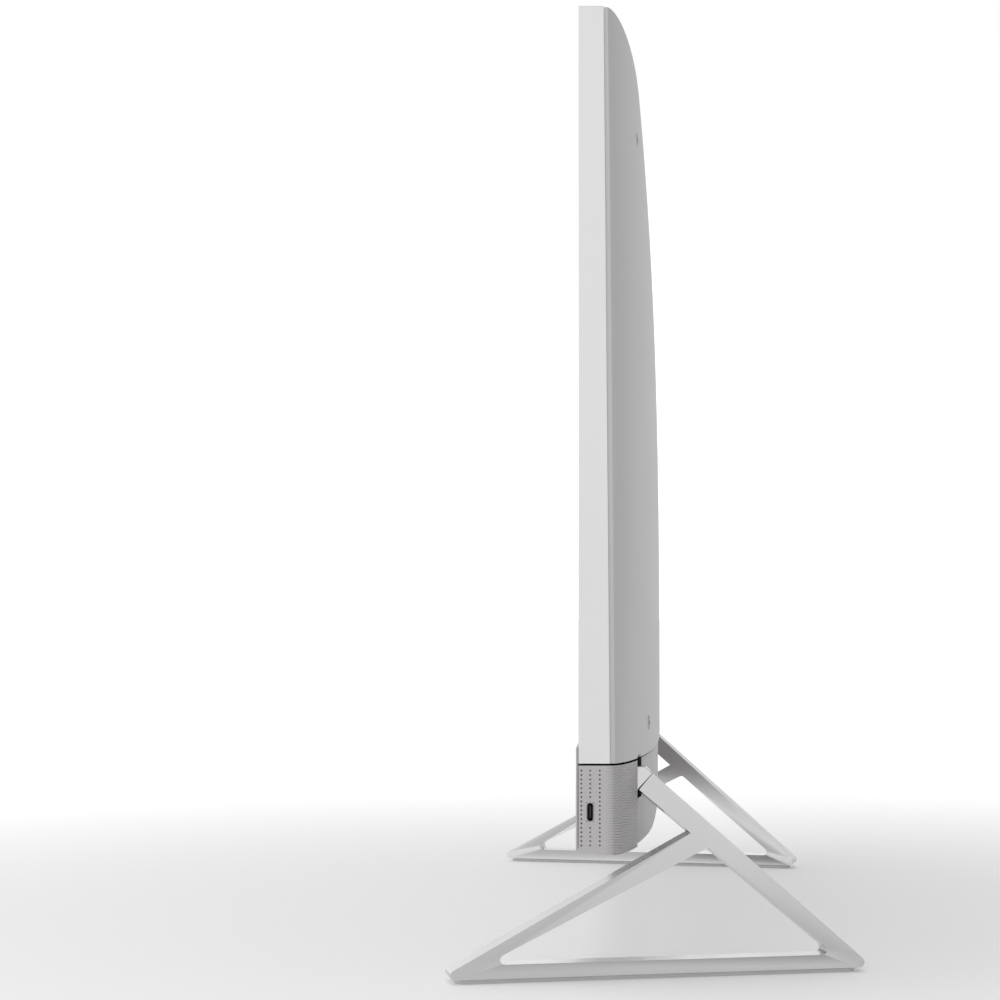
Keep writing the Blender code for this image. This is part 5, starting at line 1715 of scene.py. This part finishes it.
@dataclass
class Studio:
    """Pale floor, soft light and the camera.

    Attributes:
        ambient: Strength of the light from all round, in front and behind.
        fade: Where, from front to back, it passes from one to the other.
        overhead: Share of it that comes from above.
        overhead_fade: How high, from 0 to 1, that share sets in.
        floor_reach: Half of the floor's width.
        lamps: The soft lights.
        eye: Camera's place.
        yaw: Camera's turn from square-on, towards the machine's front.
        pitch: Its upward tilt.
        lens: Focal length in millimetres.
        shift: Lens shift across and up.
    """

    ambient: tuple[float, float] = (1.30, 0.40)
    fade: tuple[float, float] = (0.10, 0.70)
    overhead: float = 0.52
    overhead_fade: tuple[float, float] = (0.06, 0.40)
    floor_reach: float = 60.0
    lamps: tuple[Lamp, ...] = (
        Lamp("key", (0.5, -0.5, 2.3), (0.1, 0.0, 0.0), (2.0, 2.0), 9.5),
    )
    eye: tuple[float, float, float] = (1.393545, -0.011407, 0.183293)
    yaw: float = 0.01975
    pitch: float = 0.02814
    lens: float = 80.755
    shift: tuple[float, float] = (-0.09, 0.05)

    def build(self) -> None:
        """Set the whole studio."""
        self.floor()
        self.world()
        for lamp in self.lamps:
            lamp.hang()
        self.camera()

    def floor(self) -> None:
        """A level floor far wider than the view."""
        shape = bmesh.new()
        bmesh.ops.create_grid(shape, x_segments=8, y_segments=8, size=self.floor_reach)
        mesh = bpy.data.meshes.new("floor")
        shape.to_mesh(mesh)
        shape.free()
        mesh.materials.append(FLOOR.material())
        floor = bpy.data.objects.new("floor", mesh)
        bpy.context.scene.collection.objects.link(floor)

    def world(self) -> None:
        """White light from all round, weaker from behind the machine and from above.

        The camera itself sees plain white.
        """
        world = bpy.data.worlds.new("studio")
        world.use_nodes = True
        graph = Graph(world.node_tree)
        back = world.node_tree.nodes["Background"]
        facing = graph.parts(graph.add("ShaderNodeTexCoord").outputs["Generated"])
        across = graph.step(facing["Y"], *self.fade, *self.ambient)
        upwards = graph.step(facing["Z"], *self.overhead_fade, 1.0, self.overhead)
        lit = graph.times(across, upwards)
        seen = graph.add("ShaderNodeLightPath").outputs["Is Camera Ray"]
        graph.feed(back.inputs["Strength"], graph.math("MAXIMUM", lit, seen))
        back.inputs["Color"].default_value = (1.0, 1.0, 1.0, 1.0)
        bpy.context.scene.world = world

    def camera(self) -> None:
        """The camera, looking along the machine's width at its right side."""
        lens = bpy.data.cameras.new("view")
        lens.lens = self.lens
        lens.sensor_width = 36.0
        lens.shift_x, lens.shift_y = self.shift
        lens.clip_start = 0.05
        made = bpy.data.objects.new("view", lens)
        ahead = Vector((-math.cos(self.yaw) * math.cos(self.pitch),
                        -math.sin(self.yaw) * math.cos(self.pitch), math.sin(self.pitch)))
        made.location = self.eye
        made.rotation_euler = ahead.to_track_quat("-Z", "Y").to_euler()
        bpy.context.scene.collection.objects.link(made)
        bpy.context.scene.camera = made


def main() -> None:
    """Build the effects, the machine and the studio, in that order."""
    logging.basicConfig(level=logging.INFO, format="%(name)s: %(message)s")
    SharedEffects().build()
    surface = BackSurface()
    assemblies = (DisplayShell(surface), Screen(), Chin(surface), RearSockets(), Stand(),
                  RisingCamera(), PowerButton(), Computer())
    for assembly in assemblies:
        assembly.build()
        assembly.dress()
        log.info("%s done", type(assembly).__name__)
    Studio().build()
    bpy.context.scene.view_settings.view_transform = "Standard"


if __name__ == "__main__":
    main()
